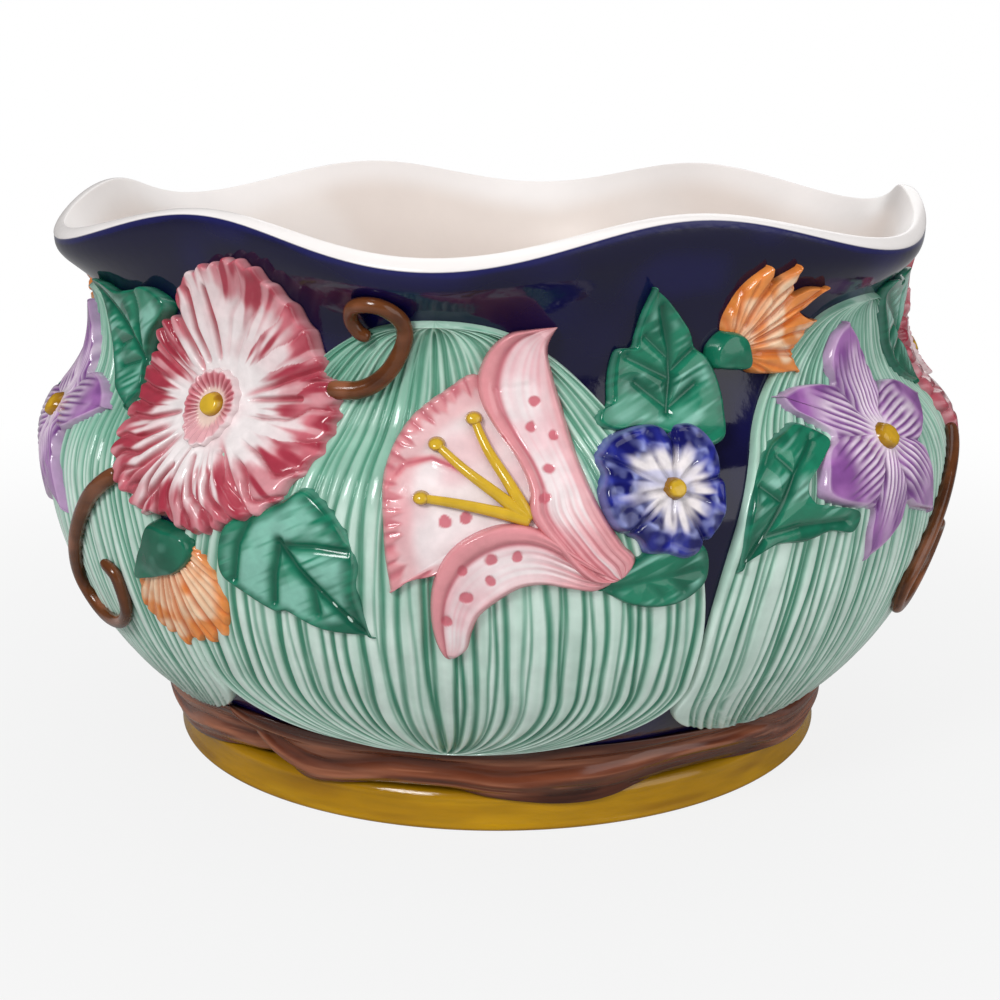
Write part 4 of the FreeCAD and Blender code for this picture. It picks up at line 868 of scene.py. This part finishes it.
def spots(u, v, places, size, seed):
    """Share of paint in a set of dabbed spots."""
    ragged = 0.5 * (grain(u, v, 1.6, seed) - 0.5)
    found = np.zeros(np.shape(u))
    for k, (pu, pv) in enumerate(places):
        far = np.hypot((u - pu) * (1 + 0.15 * (k % 3 - 1)), v - pv) / size
        found = np.maximum(found, ramp(1.15, 0.8, far + ragged))
    return found


def lily_flower(site, seed):
    def frill_of(rho, u, v):
        angle = np.arctan2(v - LILY_MIDDLE[1], u - LILY_MIDDLE[0])
        rib = np.abs(np.sin(31 * angle + 2.2 * grain(angle * 12, 0 * u, 1, seed + 6))) ** 4
        left = ramp(0.2, 0.6, -np.cos(angle) + 0.25)
        reach = 0.80 + 0.1 * grain(angle * 20, 0 * u, 1, seed + 7)
        return rib * left, ramp(reach, reach + 0.06, rho) * left

    def trumpet_relief(rho, u, v):
        rib, band = frill_of(rho, u, v)
        fold = bump(line_gap(u, v, LILY_FOLD + [LILY_MIDDLE]), 1.6) * ramp(0.15, 0.4, rho)
        return 2.9 + 1.1 * ramp(0.1, 0.85, rho) + 0.4 * band - 0.45 * rib * band + 0.9 * fold

    def trumpet_paint(rho, u, v):
        rib, band = frill_of(rho, u, v)
        veil = grain(u, v, 8, seed)
        fold = bump(line_gap(u, v, LILY_FOLD), 1.0)
        return coats(
            PETAL_WHITE, (PETAL_BLUSH, 0.8 * ramp(0.45, 0.95, veil)),
            (PINK, fold + 0.55 * ramp(0.7, 0.82, rho)),
            (PINK_DEEP, 0.8 * fold ** 4),
            (PINK, 0.85 * band),
            (PINK_DEEP, 0.7 * rib * band + 0.4 * ramp(0.2, 0.0, rho)),
            (ROSE, 0.9 * spots(u, v, LILY_INNER_SPOTS, 1.5, seed + 1)))

    def petal_relief(base, crest, band, spot_places):
        def relief(s, t, u, v):
            curl = bump(t + (1.1 + band) / 2 + 0.01, 0.66 * (1 - band)) + 0.3 * bump(t - 0.82, 0.15)
            trough = 0.6 * bump(t + band, 0.1) + 0.3 * bump(line_gap(u, v, LILY_CREASE), 0.8)
            dots = spots(u, v, spot_places, 1.35, seed + 2)
            ribs = 0.16 * np.sin(24 * t) * ramp(0.5, 0.15, s)
            return base + crest * curl - trough - 0.25 * dots + ribs
        return relief

    def petal_paint(band, margin, spot_places, clear_from):
        def paint(s, t, u, v):
            brush = grain(t * 16, s * 4, 1.6, seed + 3)
            veil = 0.45 * ramp(0.3, 0.9, brush) + 0.55 * ramp(0.35, 0.8, grain(u, v, 9, seed + 8))
            root = ramp(clear_from, clear_from - 0.3, s)
            return coats(
                PETAL_WHITE, (PETAL_BLUSH, veil),
                (PINK, 0.95 * ramp(band - 0.12, band + 0.12, -t + 0.2 * (brush - 0.5))),
                (PINK_DEEP, 0.75 * bump(t + band, 0.08)),
                (PINK, 0.8 * ramp(margin, 0.95, t + 0.25 * (brush - 0.5))),
                (PINK, 0.85 * root * ramp(0.25, 0.7, brush + 0.25 * root)),
                (PINK_DEEP, 0.6 * root * ramp(0.55, 0.85, grain(t * 22, s * 2, 1, seed + 4))),
                (PINK, 0.7 * ramp(0.86, 1.0, s)),
                (PINK_DEEP, 0.65 * ramp(0.88, 1.0, np.abs(t))),
                (ROSE, 0.9 * spots(u, v, spot_places, 1.45, seed + 5)))
        return paint

    def strand_paint(s, angle):
        # Painted shade: each stamen is darker on its side towards the bowl.
        return mix(YELLOW, YELLOW_DEEP, 0.7 * ramp(0.2, -0.9, np.sin(angle)))

    def tip_paint(rho, u, v):
        return mix(YELLOW, YELLOW_DEEP, ramp(0.4, 0.95, rho) * 0.8)

    trumpet = closed_curve(LILY_TRUMPET, count=520)
    shells = [
        dome(site, trumpet, LILY_MIDDLE, trumpet_relief, trumpet_paint, roll=1.6, rings=60),
        blade(site, LILY_LOWER_TOP, LILY_LOWER_FOOT, petal_relief(5.0, 1.4, 0.36, LILY_LOWER_SPOTS),
              petal_paint(0.36, 0.62, LILY_LOWER_SPOTS, 0.42), roll=1.7, rows=170, columns=64),
        blade(site, LILY_UPPER_LEFT, LILY_UPPER_RIGHT, petal_relief(5.1, 1.4, 0.5, LILY_UPPER_SPOTS),
              petal_paint(0.5, 0.4, LILY_UPPER_SPOTS, 0.45), roll=1.7, rows=210, columns=64)]
    for path in STAMENS:
        steps = len(path) - 1
        lifted = [(u, v, 4.0 + 1.2 * k / steps) for k, (u, v) in enumerate(path)]
        strand = tube(site, lifted, lambda s: 1.75 - 0.65 * s, strand_paint, flat=0.85, rows=60, sides=16)
        shells.append(strand)
        shells.append(bead(site, path[-1], STAMEN_TIP, knob(6.7, 1.1), tip_paint, count=40))
    return shells


# Morning glory: five blue lobes round a white star and a yellow eye.
GLORY_MIDDLE = (0.5, 1.0)
GLORY_EYE = (GLORY_MIDDLE, (3.5, 3.4))
GLORY_NOTCHES = (8, 80, 152, 218, 296)
GLORY_OUTLINE = [(-3, 18.5), (0.5, 17.6), (2, 15.2), (4, 17.6), (9, 18), (13, 15), (15, 9.5), (14.4, 4),
                 (15.2, 1.5), (14.8, -4), (13.2, -9), (10, -13), (8, -13.6), (6, -16.8), (2, -17.8),
                 (-3, -16.2), (-8, -15.5), (-10.5, -12), (-13, -10.3), (-17, -8), (-19.5, -3), (-20, 1.5),
                 (-18.4, 6), (-19, 10), (-15, 15), (-9, 17.6)]


def morning_glory(site, seed):
    def folds(u, v):
        index, across, r, wide = petal_of(u, v, GLORY_MIDDLE, GLORY_NOTCHES)
        seam = bump(np.minimum(across, 1 - across) * wide * r, 0.75)
        mid = bump((across - 0.5) * wide * r, 0.55) * ramp(10.5, 8, r)
        half = np.floor(across * 2)
        lot = grain(5.3 * (2 * index + half), 0 * u, 1, seed + 5)
        cell = np.hypot((across * 2 - half - 0.5) / 0.5, (r - 13.6 - 2.5 * lot) / 3.8)
        cell = cell + 0.9 * (grain(u, v, 3, seed + 6) - 0.5)
        return index, across, r, seam, mid, cell

    def relief(rho, u, v):
        _, across, _, seam, mid, cell = folds(u, v)
        pillow = 0.7 * np.sin(pi * across) * ramp(0.35, 0.75, rho)
        dents = 0.5 * ramp(1.0, 0.3, cell) * ramp(0.5, 0.7, rho)
        cuts = 1.3 * seam * ramp(0.2, 0.45, rho) + 0.6 * mid + dents
        return 3.9 + 2.0 * ramp(0.2, 0.75, rho) + pillow - cuts

    def paint(rho, u, v):
        index, across, r, seam, mid, cell = folds(u, v)
        cloud = grain(u, v, 4.2, seed + 1)
        dab = grain(u, v, 1.7, seed + 3)
        brush = grain(across * 8 + 13 * index, r / 8, 1, seed + 4)
        star = ramp(0.16, -0.16, rho - 0.53 + 0.4 * (brush - 0.5) + 0.1 * (cloud - 0.5))
        rim_line = bump(cell - 1.05, 0.22) * ramp(0.98, 0.9, rho)
        pale = 0.5 * rim_line * ramp(0.2, 0.7, dab) + 0.35 * ramp(0.5, 0.8, 0.5 * brush + 0.5 * dab)
        return coats(
            BLUE, (BLUE_DEEP, ramp(0.3, 0.65, 0.6 * brush + 0.4 * grain(u, v, 3.6, seed + 2))),
            (BLUE_PALE, pale),
            (BLUE_DEEP, 0.4 * ramp(0.9, 0.4, cell) * ramp(0.5, 0.65, rho)),
            (mix(WHITE, BLUE_PALE, 0.5 * ramp(0.4, 0.8, cloud)), 0.95 * star),
            (BLUE_DEEP, 0.8 * seam * ramp(0.35, 0.6, rho) + 0.55 * mid * ramp(0.3, 0.45, rho)),
            (STAR_LINE, 0.5 * np.maximum(seam, mid) * ramp(0.5, 0.3, rho)),
            (BLUE_PALE, 0.45 * ramp(0.93, 0.97, rho) * ramp(1.0, 0.985, rho)))

    def eye_paint(rho, u, v):
        return mix(YELLOW, YELLOW_DEEP, ramp(0.5, 0.9, rho) + 0.4 * ramp(0.5, 0.8, grain(u, v, 1.8, seed)))

    outline = closed_curve(GLORY_OUTLINE, count=420)
    return [dome(site, outline, GLORY_MIDDLE, relief, paint, roll=1.9, rings=48),
            bead(site, *GLORY_EYE, knob(6.3, 0.9), eye_paint)]


# Clematis: six pointed petals with lengthwise ridges.
CLEMATIS_MIDDLE = (0, 0)
CLEMATIS_EYE = ((0, -0.5), (5.4, 4.8))
CLEMATIS_NOTCHES = (49, 121, 172, 236, 288, 344)
CLEMATIS_AXES = (12, 95, 152, 197, 249, 315)
CLEMATIS_OUTLINE = [
    (11, 13), (10, 16.5), (6.5, 23), (2.5, 29), (-3, 33.5), (-3, 33.5), (-8, 31), (-12, 24),
    (-10.5, 17.5), (-18, 18.8), (-27, 19.4), (-34, 18), (-34, 18), (-31.5, 13.5), (-26, 9), (-22, 3.5),
    (-29, 0), (-32.5, -5), (-34, -11), (-28, -14.8), (-20, -17.4), (-13.5, -19.5), (-14.2, -26),
    (-13, -33), (-13, -33), (-4.5, -31), (3, -27), (7, -21.5), (12, -23.6), (19, -25.4), (27, -27),
    (27, -27), (23.5, -18), (21, -11), (19.5, -5.5), (26, -1), (32, 3), (38.5, 8), (38.5, 8), (33, 11.4),
    (26, 14), (17, 14.8)]


def clematis_flower(site, seed):
    def folds(u, v):
        index, across, r, wide = petal_of(u, v, CLEMATIS_MIDDLE, CLEMATIS_NOTCHES)
        axis = np.radians(np.roll(CLEMATIS_AXES, -1))[index]
        along = u * np.cos(axis) + v * np.sin(axis)
        aside = -u * np.sin(axis) + v * np.cos(axis)
        broad = 8.6 * np.sqrt(np.clip(1 - ((along - 17) / 21) ** 2, 0.02, 1))
        line = aside / broad * 4.1 + 0.5 * (grain(u, v, 14, seed + 1) - 0.5)
        groove_gap = np.abs(line - np.round(line)) * broad / 4.1
        lot = grain(np.round(line) * 3.7 + 11 * index, 0 * u, 1, seed + 2)
        crease = bump(groove_gap, 0.4 + 0.3 * lot) * ramp(31, 22, along + 8 * lot) * ramp(3, 8, along)
        seam = bump(np.minimum(across, 1 - across) * wide * r, 0.9)
        return index, along, aside / broad, crease, seam, r

    def relief(rho, u, v):
        index, _, aside, crease, seam, r = folds(u, v)
        lift = 3.8 + 0.8 * ramp(4, 16, r) - 0.5 * ramp(22, 36, r)
        lap = np.where(index % 2 == 0, 0.5, -0.1) * ramp(8, 14, r)
        return lift + lap - 0.6 * crease - 0.9 * seam * ramp(5, 10, r) + 0.25 * (1 - aside ** 2)

    def paint(rho, u, v):
        _, along, aside, crease, seam, r = folds(u, v)
        cloud = grain(u, v, 6, seed)
        pale = ramp(30, 12, along + 12 * (cloud - 0.5))
        return coats(
            VIOLET, (VIOLET_DEEP, 0.6 * ramp(0.45, 0.85, cloud)),
            (VIOLET_PALE, 0.95 * pale * (1 - 0.4 * np.abs(aside)) * (1 - crease)),
            (VIOLET_DEEP, 0.7 * crease * ramp(6, 13, along)),
            (VIOLET_DEEP, 0.4 * seam * ramp(8, 14, r)),
            (VIOLET_PALE, 0.3 * ramp(0.93, 0.96, rho)))

    def eye_relief(rho, u, v):
        return 6.4 - 1.2 * rho ** 2 + 0.3 * np.cos(9 * u) * rho

    def eye_paint(rho, u, v):
        return mix(YELLOW_DULL, YELLOW_DEEP, ramp(0.45, 0.9, rho) + 0.5 * grain(u, v, 2, seed) - 0.25)

    outline = closed_curve(CLEMATIS_OUTLINE, count=620)
    return [dome(site, outline, CLEMATIS_MIDDLE, relief, paint, roll=1.5, rings=60),
            bead(site, *CLEMATIS_EYE, eye_relief, eye_paint)]


# Leaves: an outline with a middle, and veins as runs of points.
LEAVES = {
    "heart_leaf": dict(
        middle=(0, 2), wash=0.06, carve=1.1, outline=[
            (22.5, -17), (22.5, -17), (20.8, -9.5), (19.7, -3), (20.2, 5), (15.5, 15), (6, 22.5),
            (-0.5, 19), (-8, 15.4), (-17.5, 11.5), (-21, 4), (-20.4, -4.3), (-12, -9), (-5, -12.6),
            (0, -12.4), (9, -16.2)],
        veins=[[(-1, 8), (4, 1), (12, -7), (20, -15)], [(0, 7), (9, 7.5), (18, 7)],
               [(-1, 7), (-3, -1), (-4, -9)], [(8, -3), (8.5, -11)], [(-9, 15), (-14, 6), (-16, -4)]]),
    "back_leaf": dict(
        middle=(2, 0), wash=-0.1, carve=1.0, outline=[
            (-19, 12.5), (-12, 13.6), (-5, 12), (5, 13.4), (15, 15), (23, 11), (15, 2.5), (10.5, -5),
            (12.5, -14), (9, -20.5), (9, -20.5), (-2.5, -16), (-9.5, -9), (-14, 0.5)],
        veins=[[(9, -5), (0, 2), (-16, 11)], [(8, -4), (6, 4), (6, 12)], [(7, -6), (-3, -9)],
               [(3, 0), (-6, -3)]]),
    "ivy_leaf": dict(
        middle=(2, -7), wash=-0.26, carve=1.0, outline=[
            (-2.5, 17), (-2.5, 17), (1.5, 14.4), (5.5, 10), (8.5, 6), (10.5, 2), (13.5, -0.5), (16, -4),
            (17.8, -9), (18.4, -15), (16.5, -23), (8, -25), (0, -21), (-8, -18.6), (-14, -18.8),
            (-18.4, -16.8), (-17.8, -13.6), (-14.6, -11.6), (-14, -6), (-13.2, -1), (-11.6, 2.4),
            (-7.6, 2.8), (-6.6, 5.6), (-5, 11)],
        veins=[[(1, -15), (2.6, -6), (2.4, 2), (0, 12)], [(2.6, -1), (-4, 5)], [(1, -13.5), (-7, -6.5)],
               [(2.6, -6), (-9, 0)], [(2, -13.5), (10, -8)], [(3, -4), (9, 1)]]),
    "lily_leaf": dict(
        middle=(0, 0.6), wash=-0.2, carve=0.35, outline=[
            (-16.5, -1.5), (-16.5, -1.5), (-8, -6.6), (1, -8.3), (9.2, -6.2), (14.2, 0), (12, 8.6),
            (0, 9.2), (-10, 5)],
        veins=[[(-13, -1.4), (0, 0.4), (11, 2)], [(-4, 0), (1, -4.6)], [(2, 0.6), (7, -3)]]),
    "clematis_leaf": dict(
        middle=(-3, -4), wash=-0.38, carve=1.0, outline=[
            (-19, -20), (-19, -20), (-18, -7.5), (-13, 4), (-5, 12), (2, 15), (8, 16.6), (17, 11.5),
            (12, 7), (5, 1.5), (4, -3), (9, -8), (17, -8.5), (24, -11), (21.5, -16), (12.5, -14.6),
            (3, -16), (-9, -15.6)],
        veins=[[(-17, -18), (-9, -8), (0, 3), (10, 11)], [(-12, -12), (0, -11), (18, -12)],
               [(-6, -4), (-12, 1)], [(0, 3), (-4, 8)]]),
}


def leaf(name, site, seed):
    spec = LEAVES[name]

    def gaps(u, v):
        main, *side = [line_gap(u, v, vein) for vein in spec["veins"]]
        return main, np.min(side, axis=0)

    def relief(rho, u, v):
        main, side = gaps(u, v)
        puff = 0.9 * ramp(0, 6, np.minimum(main, side)) + 0.5 * (grain(u, v, 9, seed) - 0.5)
        return 3.35 + puff - spec["carve"] * np.maximum(bump(main, 1.4), 0.85 * bump(side, 1.2))

    def paint(rho, u, v):
        main, side = gaps(u, v)
        brush = grain((u + 0.5 * v) / 6, (v - 0.5 * u) * 1.4, 1.5, seed + 2)
        cloud = grain(u, v, 15, seed + 3)
        bare = ramp(0.6, 3.2, np.minimum(main, side)) * ramp(0.95, 0.75, rho)
        washed = ramp(0.3, 0.75, 0.65 * cloud + 0.6 * brush + spec["wash"])
        veined = np.maximum(bump(main, 1.1), 0.8 * bump(side, 0.9))
        return coats(
            LEAF, (LEAF_DEEP, 0.6 * ramp(0.5, 0.85, grain(u, v, 7, seed + 4))),
            (LEAF_PALE, 0.85 * washed * bare),
            (LEAF_DEEP, 0.85 * min(spec["carve"], 1) * veined),
            (LEAF_DEEP, 0.6 * ramp(0.72, 0.9, rho) * ramp(0.2, 0.7, brush)),
            (LEAF_PALE, 0.25 * ramp(0.95, 0.98, rho) * ramp(1.0, 0.985, rho)))

    outline = closed_curve(spec["outline"], count=420)
    return [dome(site, outline, spec["middle"], relief, paint, roll=1.5, rings=46)]


# Buds: ribbed petals that spread from a green calyx.
BUDS = {
    "top_bud": dict(
        root=(-14, -8), middle=(-1, -3), fold=9.0, notches=[(-3, 10.6), (5.2, 6.8), (11, 1.2), (9, -9.6)],
        outline=[
            (-15.6, -2.4), (-13, 6), (-9.5, 11), (-5.4, 14.6), (-5.4, 14.6), (-3, 10.6), (3.6, 14.2),
            (3.6, 14.2), (5.2, 6.8), (11, 8), (17, 7.4), (17, 7.4), (11, 1.2), (17, -2.2), (17, -2.2),
            (9, -9.6), (10.4, -15.8), (10.4, -15.8), (-1.7, -15.2), (-8.5, -13)],
        calyx_middle=(-13, -7.5), calyx=[
            (-17.4, -12.4), (-20.5, -11), (-20, -6), (-15.4, -2.2), (-10, -3.6), (-8, -8), (-8.6, -13)]),
    "low_bud": dict(
        root=(-2, 16), middle=(1, -3), fold=7.0, notches=[(12, -13), (5.6, -15.4), (0, -17), (-6.6, -17.6)],
        outline=[
            (-16, 0.4), (-11.5, 9.7), (-4, 14), (8, 13.5), (13.9, 9.2), (17, 3), (18, -4), (16.4, -10),
            (15.2, -13.4), (12, -13), (9, -17), (5.6, -15.4), (3, -18), (0, -17), (-3, -20.8),
            (-6.6, -17.6), (-10, -17.4), (-15, -13), (-18, -9)],
        calyx_middle=(-3, 9), calyx=[
            (-16, -0.4), (-13.4, 6), (-11.3, 10), (-7, 17.4), (0, 17.4), (7.6, 15.6), (8.8, 10), (3, 4.2),
            (-4.2, 1.6), (-11, 0)]),
}


def bud(name, site, seed):
    spec = BUDS[name]
    root = spec["root"]

    def creases(u, v):
        angle, r = np.arctan2(v - root[1], u - root[0]), np.hypot(u - root[0], v - root[1])
        line = np.degrees(angle) / spec["fold"] + 0.5 * (grain(angle * 9, r / 9, 1, seed) - 0.5)
        gap = np.abs(line - np.round(line)) * radians(spec["fold"]) * r
        strong = 0.45 + 0.3 * (np.round(line) % 2)
        parting = np.max([bump(line_gap(u, v, [root, notch]), 0.75) for notch in spec["notches"]], axis=0)
        return np.maximum(bump(gap, 0.55) * strong, parting * ramp(5, 9, r))

    def relief(rho, u, v):
        return 3.4 + 1.1 * ramp(0.95, 0.2, rho) - 1.1 * creases(u, v)

    def paint(rho, u, v):
        cloud = grain(u, v, 5, seed + 1)
        return coats(
            ORANGE, (ORANGE_PALE, 0.95 * ramp(0.35, 0.7, cloud + 0.3 * ramp(0.9, 0.4, rho) - 0.1)),
            (ORANGE, 0.8 * ramp(0.8, 0.95, rho)),
            (ORANGE_DEEP, 0.8 * creases(u, v)))

    def calyx_relief(rho, u, v):
        return 5.2 + 0.9 * ramp(0.9, 0.1, rho) + 0.3 * (grain(u, v, 4, seed + 2) - 0.5)

    def calyx_paint(rho, u, v):
        tint = mix(LEAF, LEAF_DEEP, 0.35 + 0.5 * ramp(0.3, 0.8, grain(u, v, 9, seed + 3)))
        return mix(tint, LEAF_PALE, 0.16 * ramp(0.5, 0.95, grain(u, v, 4, seed + 4)))

    petals, calyx = closed_curve(spec["outline"], count=400), closed_curve(spec["calyx"], count=200)
    return [dome(site, petals, spec["middle"], relief, paint, roll=1.3, rings=40),
            dome(site, calyx, spec["calyx_middle"], calyx_relief, calyx_paint, roll=1.5, rings=22)]


# Tendrils: round stems that curl at the end, with their middle this high over the bowl.
TENDRIL_HIGH = 3.6
TENDRILS = {
    "upper_tendril": [(-13, -12.4), (-8.3, -12.4), (-4, -12), (0, -10.2), (3.8, -6.9), (7, -2), (8.7, 3),
                      (8, 7.2), (4.4, 10), (-0.4, 10.6), (-4.2, 9.4), (-5.4, 6.2), (-3.6, 3),
                      (-0.6, 1.8)],
    "lower_tendril": [(24.6, 30.6), (12.6, 22.8), (1.8, 12.6), (-9.6, 0), (-16.5, -12), (-9.6, -20.4),
                      (4.8, -19.8), (16.2, -12.6), (18, -1.8), (11.4, 1.8)],
}


def tendril(name, site, seed):
    path = [(u, v, TENDRIL_HIGH) for u, v in TENDRILS[name]]

    def paint(s, angle):
        stroke = grain(s * 40, angle * 2.2, 3.4, seed)
        tint = mix(TENDRIL, BARK_PALE, 0.5 * ramp(0.5, 0.9, stroke))
        # Painted shade: the stem is darker on its side towards the bowl, on top of the random dark strokes.
        return mix(tint, BARK_DARK, 0.5 * ramp(0.4, 0.1, stroke) + 0.5 * ramp(0.1, -0.7, np.sin(angle)))

    return [tube(site, path, lambda s: 2.6 - 0.7 * s, paint, flat=0.95, rows=160, sides=24)]


# Every sprig: its site (angle, height, tilt), its slot, which is its glaze too, and what shapes it.
SPRIGS = {
    "mallow_flower": ((-35.5, 126, 12), "rose_glaze", mallow_flower),
    "morning_glory": ((18, 109, 14), "blue_glaze", morning_glory),
    "lily_flower": ((-1.5, 107, 10), "blush_glaze", lily_flower),
    "clematis_flower": ((49.5, 114, 18), "violet_glaze", clematis_flower),
    "top_bud": ((34.5, 150, 0), "orange_glaze", bud),
    "low_bud": ((-37, 78, -4), "orange_glaze", bud),
    "upper_tendril": ((-14, 146, 4), "bark_glaze", tendril),
    "lower_tendril": ((-55, 76, 0), "bark_glaze", tendril),
    "heart_leaf": ((-22, 88, 2), "leaf_glaze", leaf),
    "back_leaf": ((-54, 140, 14), "leaf_glaze", leaf),
    "ivy_leaf": ((19, 142, 14), "leaf_glaze", leaf),
    "lily_leaf": ((16.5, 87, 2), "leaf_glaze", leaf),
    "clematis_leaf": ((33, 107, 12), "leaf_glaze", leaf),
}


def sprigs():
    for order, (name, ((angle, z, tilt), slot, make)) in enumerate(SPRIGS.items()):
        for k in range(COPIES):
            site = Site(angle + 360 / COPIES * k, z, tilt)
            seed = 100 + 20 * order + 300 * k
            shells = make(name, site, seed) if make in (bud, tendril, leaf) else make(site, seed)
            piece(f"{name}_{k + 1}", shells, slot)


# Stage: pale floor, soft lamps and the photograph's camera.
CAMERA_AT = (0.0, -559.05, 217.17)
CAMERA_PITCH = 75.39
CAMERA_LENS = 60.69
CAMERA_SHIFT = 0.0027
LAMPS = {
    # name: position in metres, size in metres, power in watts
    "key_lamp": ((-0.85, -1.3, 1.15), 0.5, 16.5),
    "fill_lamp": ((1.2, -1.1, 0.65), 1.4, 9.5),
    "top_lamp": ((0.1, 0.3, 1.6), 1.0, 4.0),
    "back_lamp": ((0.3, 1.5, 0.8), 1.2, 5.0),
}
LAMPS_AIM = Vector((0, 0, 0.09))
WORLD_LIGHT = 0.5
WORLD_GLOSS = 0.1
PLAIN_WHITE = (1, 1, 1, 1)
# The floor fades to white between these distances, in metres, from this share of white.
FLOOR_FADE = (0.16, 0.55)
FLOOR_WHITE = 0.85
FLOOR_GREY = (0.42, 0.42, 0.42, 1)
FLOOR_ROUGH = 0.8
FLOOR_SIZE = 8


def white_for_camera(tree):
    """Share of rays that see plain white: those of the camera, also through what is clear."""
    camera_ray = add_node(tree, "LightPath", {}, "Is Camera Ray")
    through = camera_ray.node.outputs["Is Transmission Ray"]
    return add_node(tree, "Math", {0: camera_ray, 1: through}, "Value", operation="MAXIMUM")


def blend(tree, share, shader, white, end):
    """End a tree in a shader that gives way to white by a share."""
    both = add_node(tree, "MixShader", {"Fac": share, 1: shader, 2: white}, "Shader")
    fill(tree, tree.nodes[end], {"Surface": both})


def stage():
    bpy.ops.mesh.primitive_plane_add(size=FLOOR_SIZE, location=(0, 0, 0))
    floor = bpy.context.object
    floor.name = "floor"
    material = bpy.data.materials.new("pale_floor")
    material.use_nodes = True
    floor.data.materials.append(material)
    tree = material.node_tree
    shader = tree.nodes["Principled BSDF"]
    fill(tree, shader, {"Base Color": FLOOR_GREY, "Roughness": FLOOR_ROUGH})
    place = add_node(tree, "TexCoord", {}, "Object")
    far = add_node(tree, "VectorMath", {0: place}, "Value", operation="LENGTH")
    fade = add_node(tree, "MapRange", {
        "Value": far, "From Min": FLOOR_FADE[0], "From Max": FLOOR_FADE[1], "To Min": FLOOR_WHITE},
        "Result", interpolation_type="SMOOTHSTEP")
    share = add_node(tree, "Math", {0: white_for_camera(tree), 1: fade}, "Value", operation="MULTIPLY")
    glow = add_node(tree, "Emission", {"Color": PLAIN_WHITE}, "Emission")
    blend(tree, share, shader.outputs["BSDF"], glow, "Material Output")

    world = bpy.data.worlds.new("studio")
    bpy.context.scene.world = world
    world.use_nodes = True
    tree = world.node_tree
    light = tree.nodes["Background"]
    glossy = add_node(tree, "LightPath", {}, "Is Glossy Ray")
    level = {"Value": glossy, "To Min": WORLD_LIGHT, "To Max": WORLD_GLOSS}
    level = add_node(tree, "MapRange", level, "Result")
    fill(tree, light, {"Color": PLAIN_WHITE, "Strength": level})
    white = add_node(tree, "Background", {"Color": PLAIN_WHITE}, "Background")
    blend(tree, white_for_camera(tree), light.outputs["Background"], white, "World Output")

    for name, (place, size, power) in LAMPS.items():
        data = bpy.data.lights.new(name, "AREA")
        data.size = size
        data.energy = power
        lamp = bpy.data.objects.new(name, data)
        bpy.context.collection.objects.link(lamp)
        lamp.location = place
        lamp.rotation_euler = (LAMPS_AIM - Vector(place)).to_track_quat("-Z", "Y").to_euler()

    data = bpy.data.cameras.new("camera")
    data.lens = CAMERA_LENS
    data.shift_x = CAMERA_SHIFT
    data.clip_start = 0.01
    camera = bpy.data.objects.new("camera", data)
    bpy.context.collection.objects.link(camera)
    camera.location = [c * MM for c in CAMERA_AT]
    camera.rotation_euler = (radians(CAMERA_PITCH), 0, 0)
    bpy.context.scene.camera = camera
    bpy.context.scene.view_settings.view_transform = "Standard"


bowl_body()
foot_ring()
for number in range(1, WAVES + 1):
    fan_leaf(number)
for number in range(1, COPIES + 1):
    bark_branch(number)
sprigs()
stage()
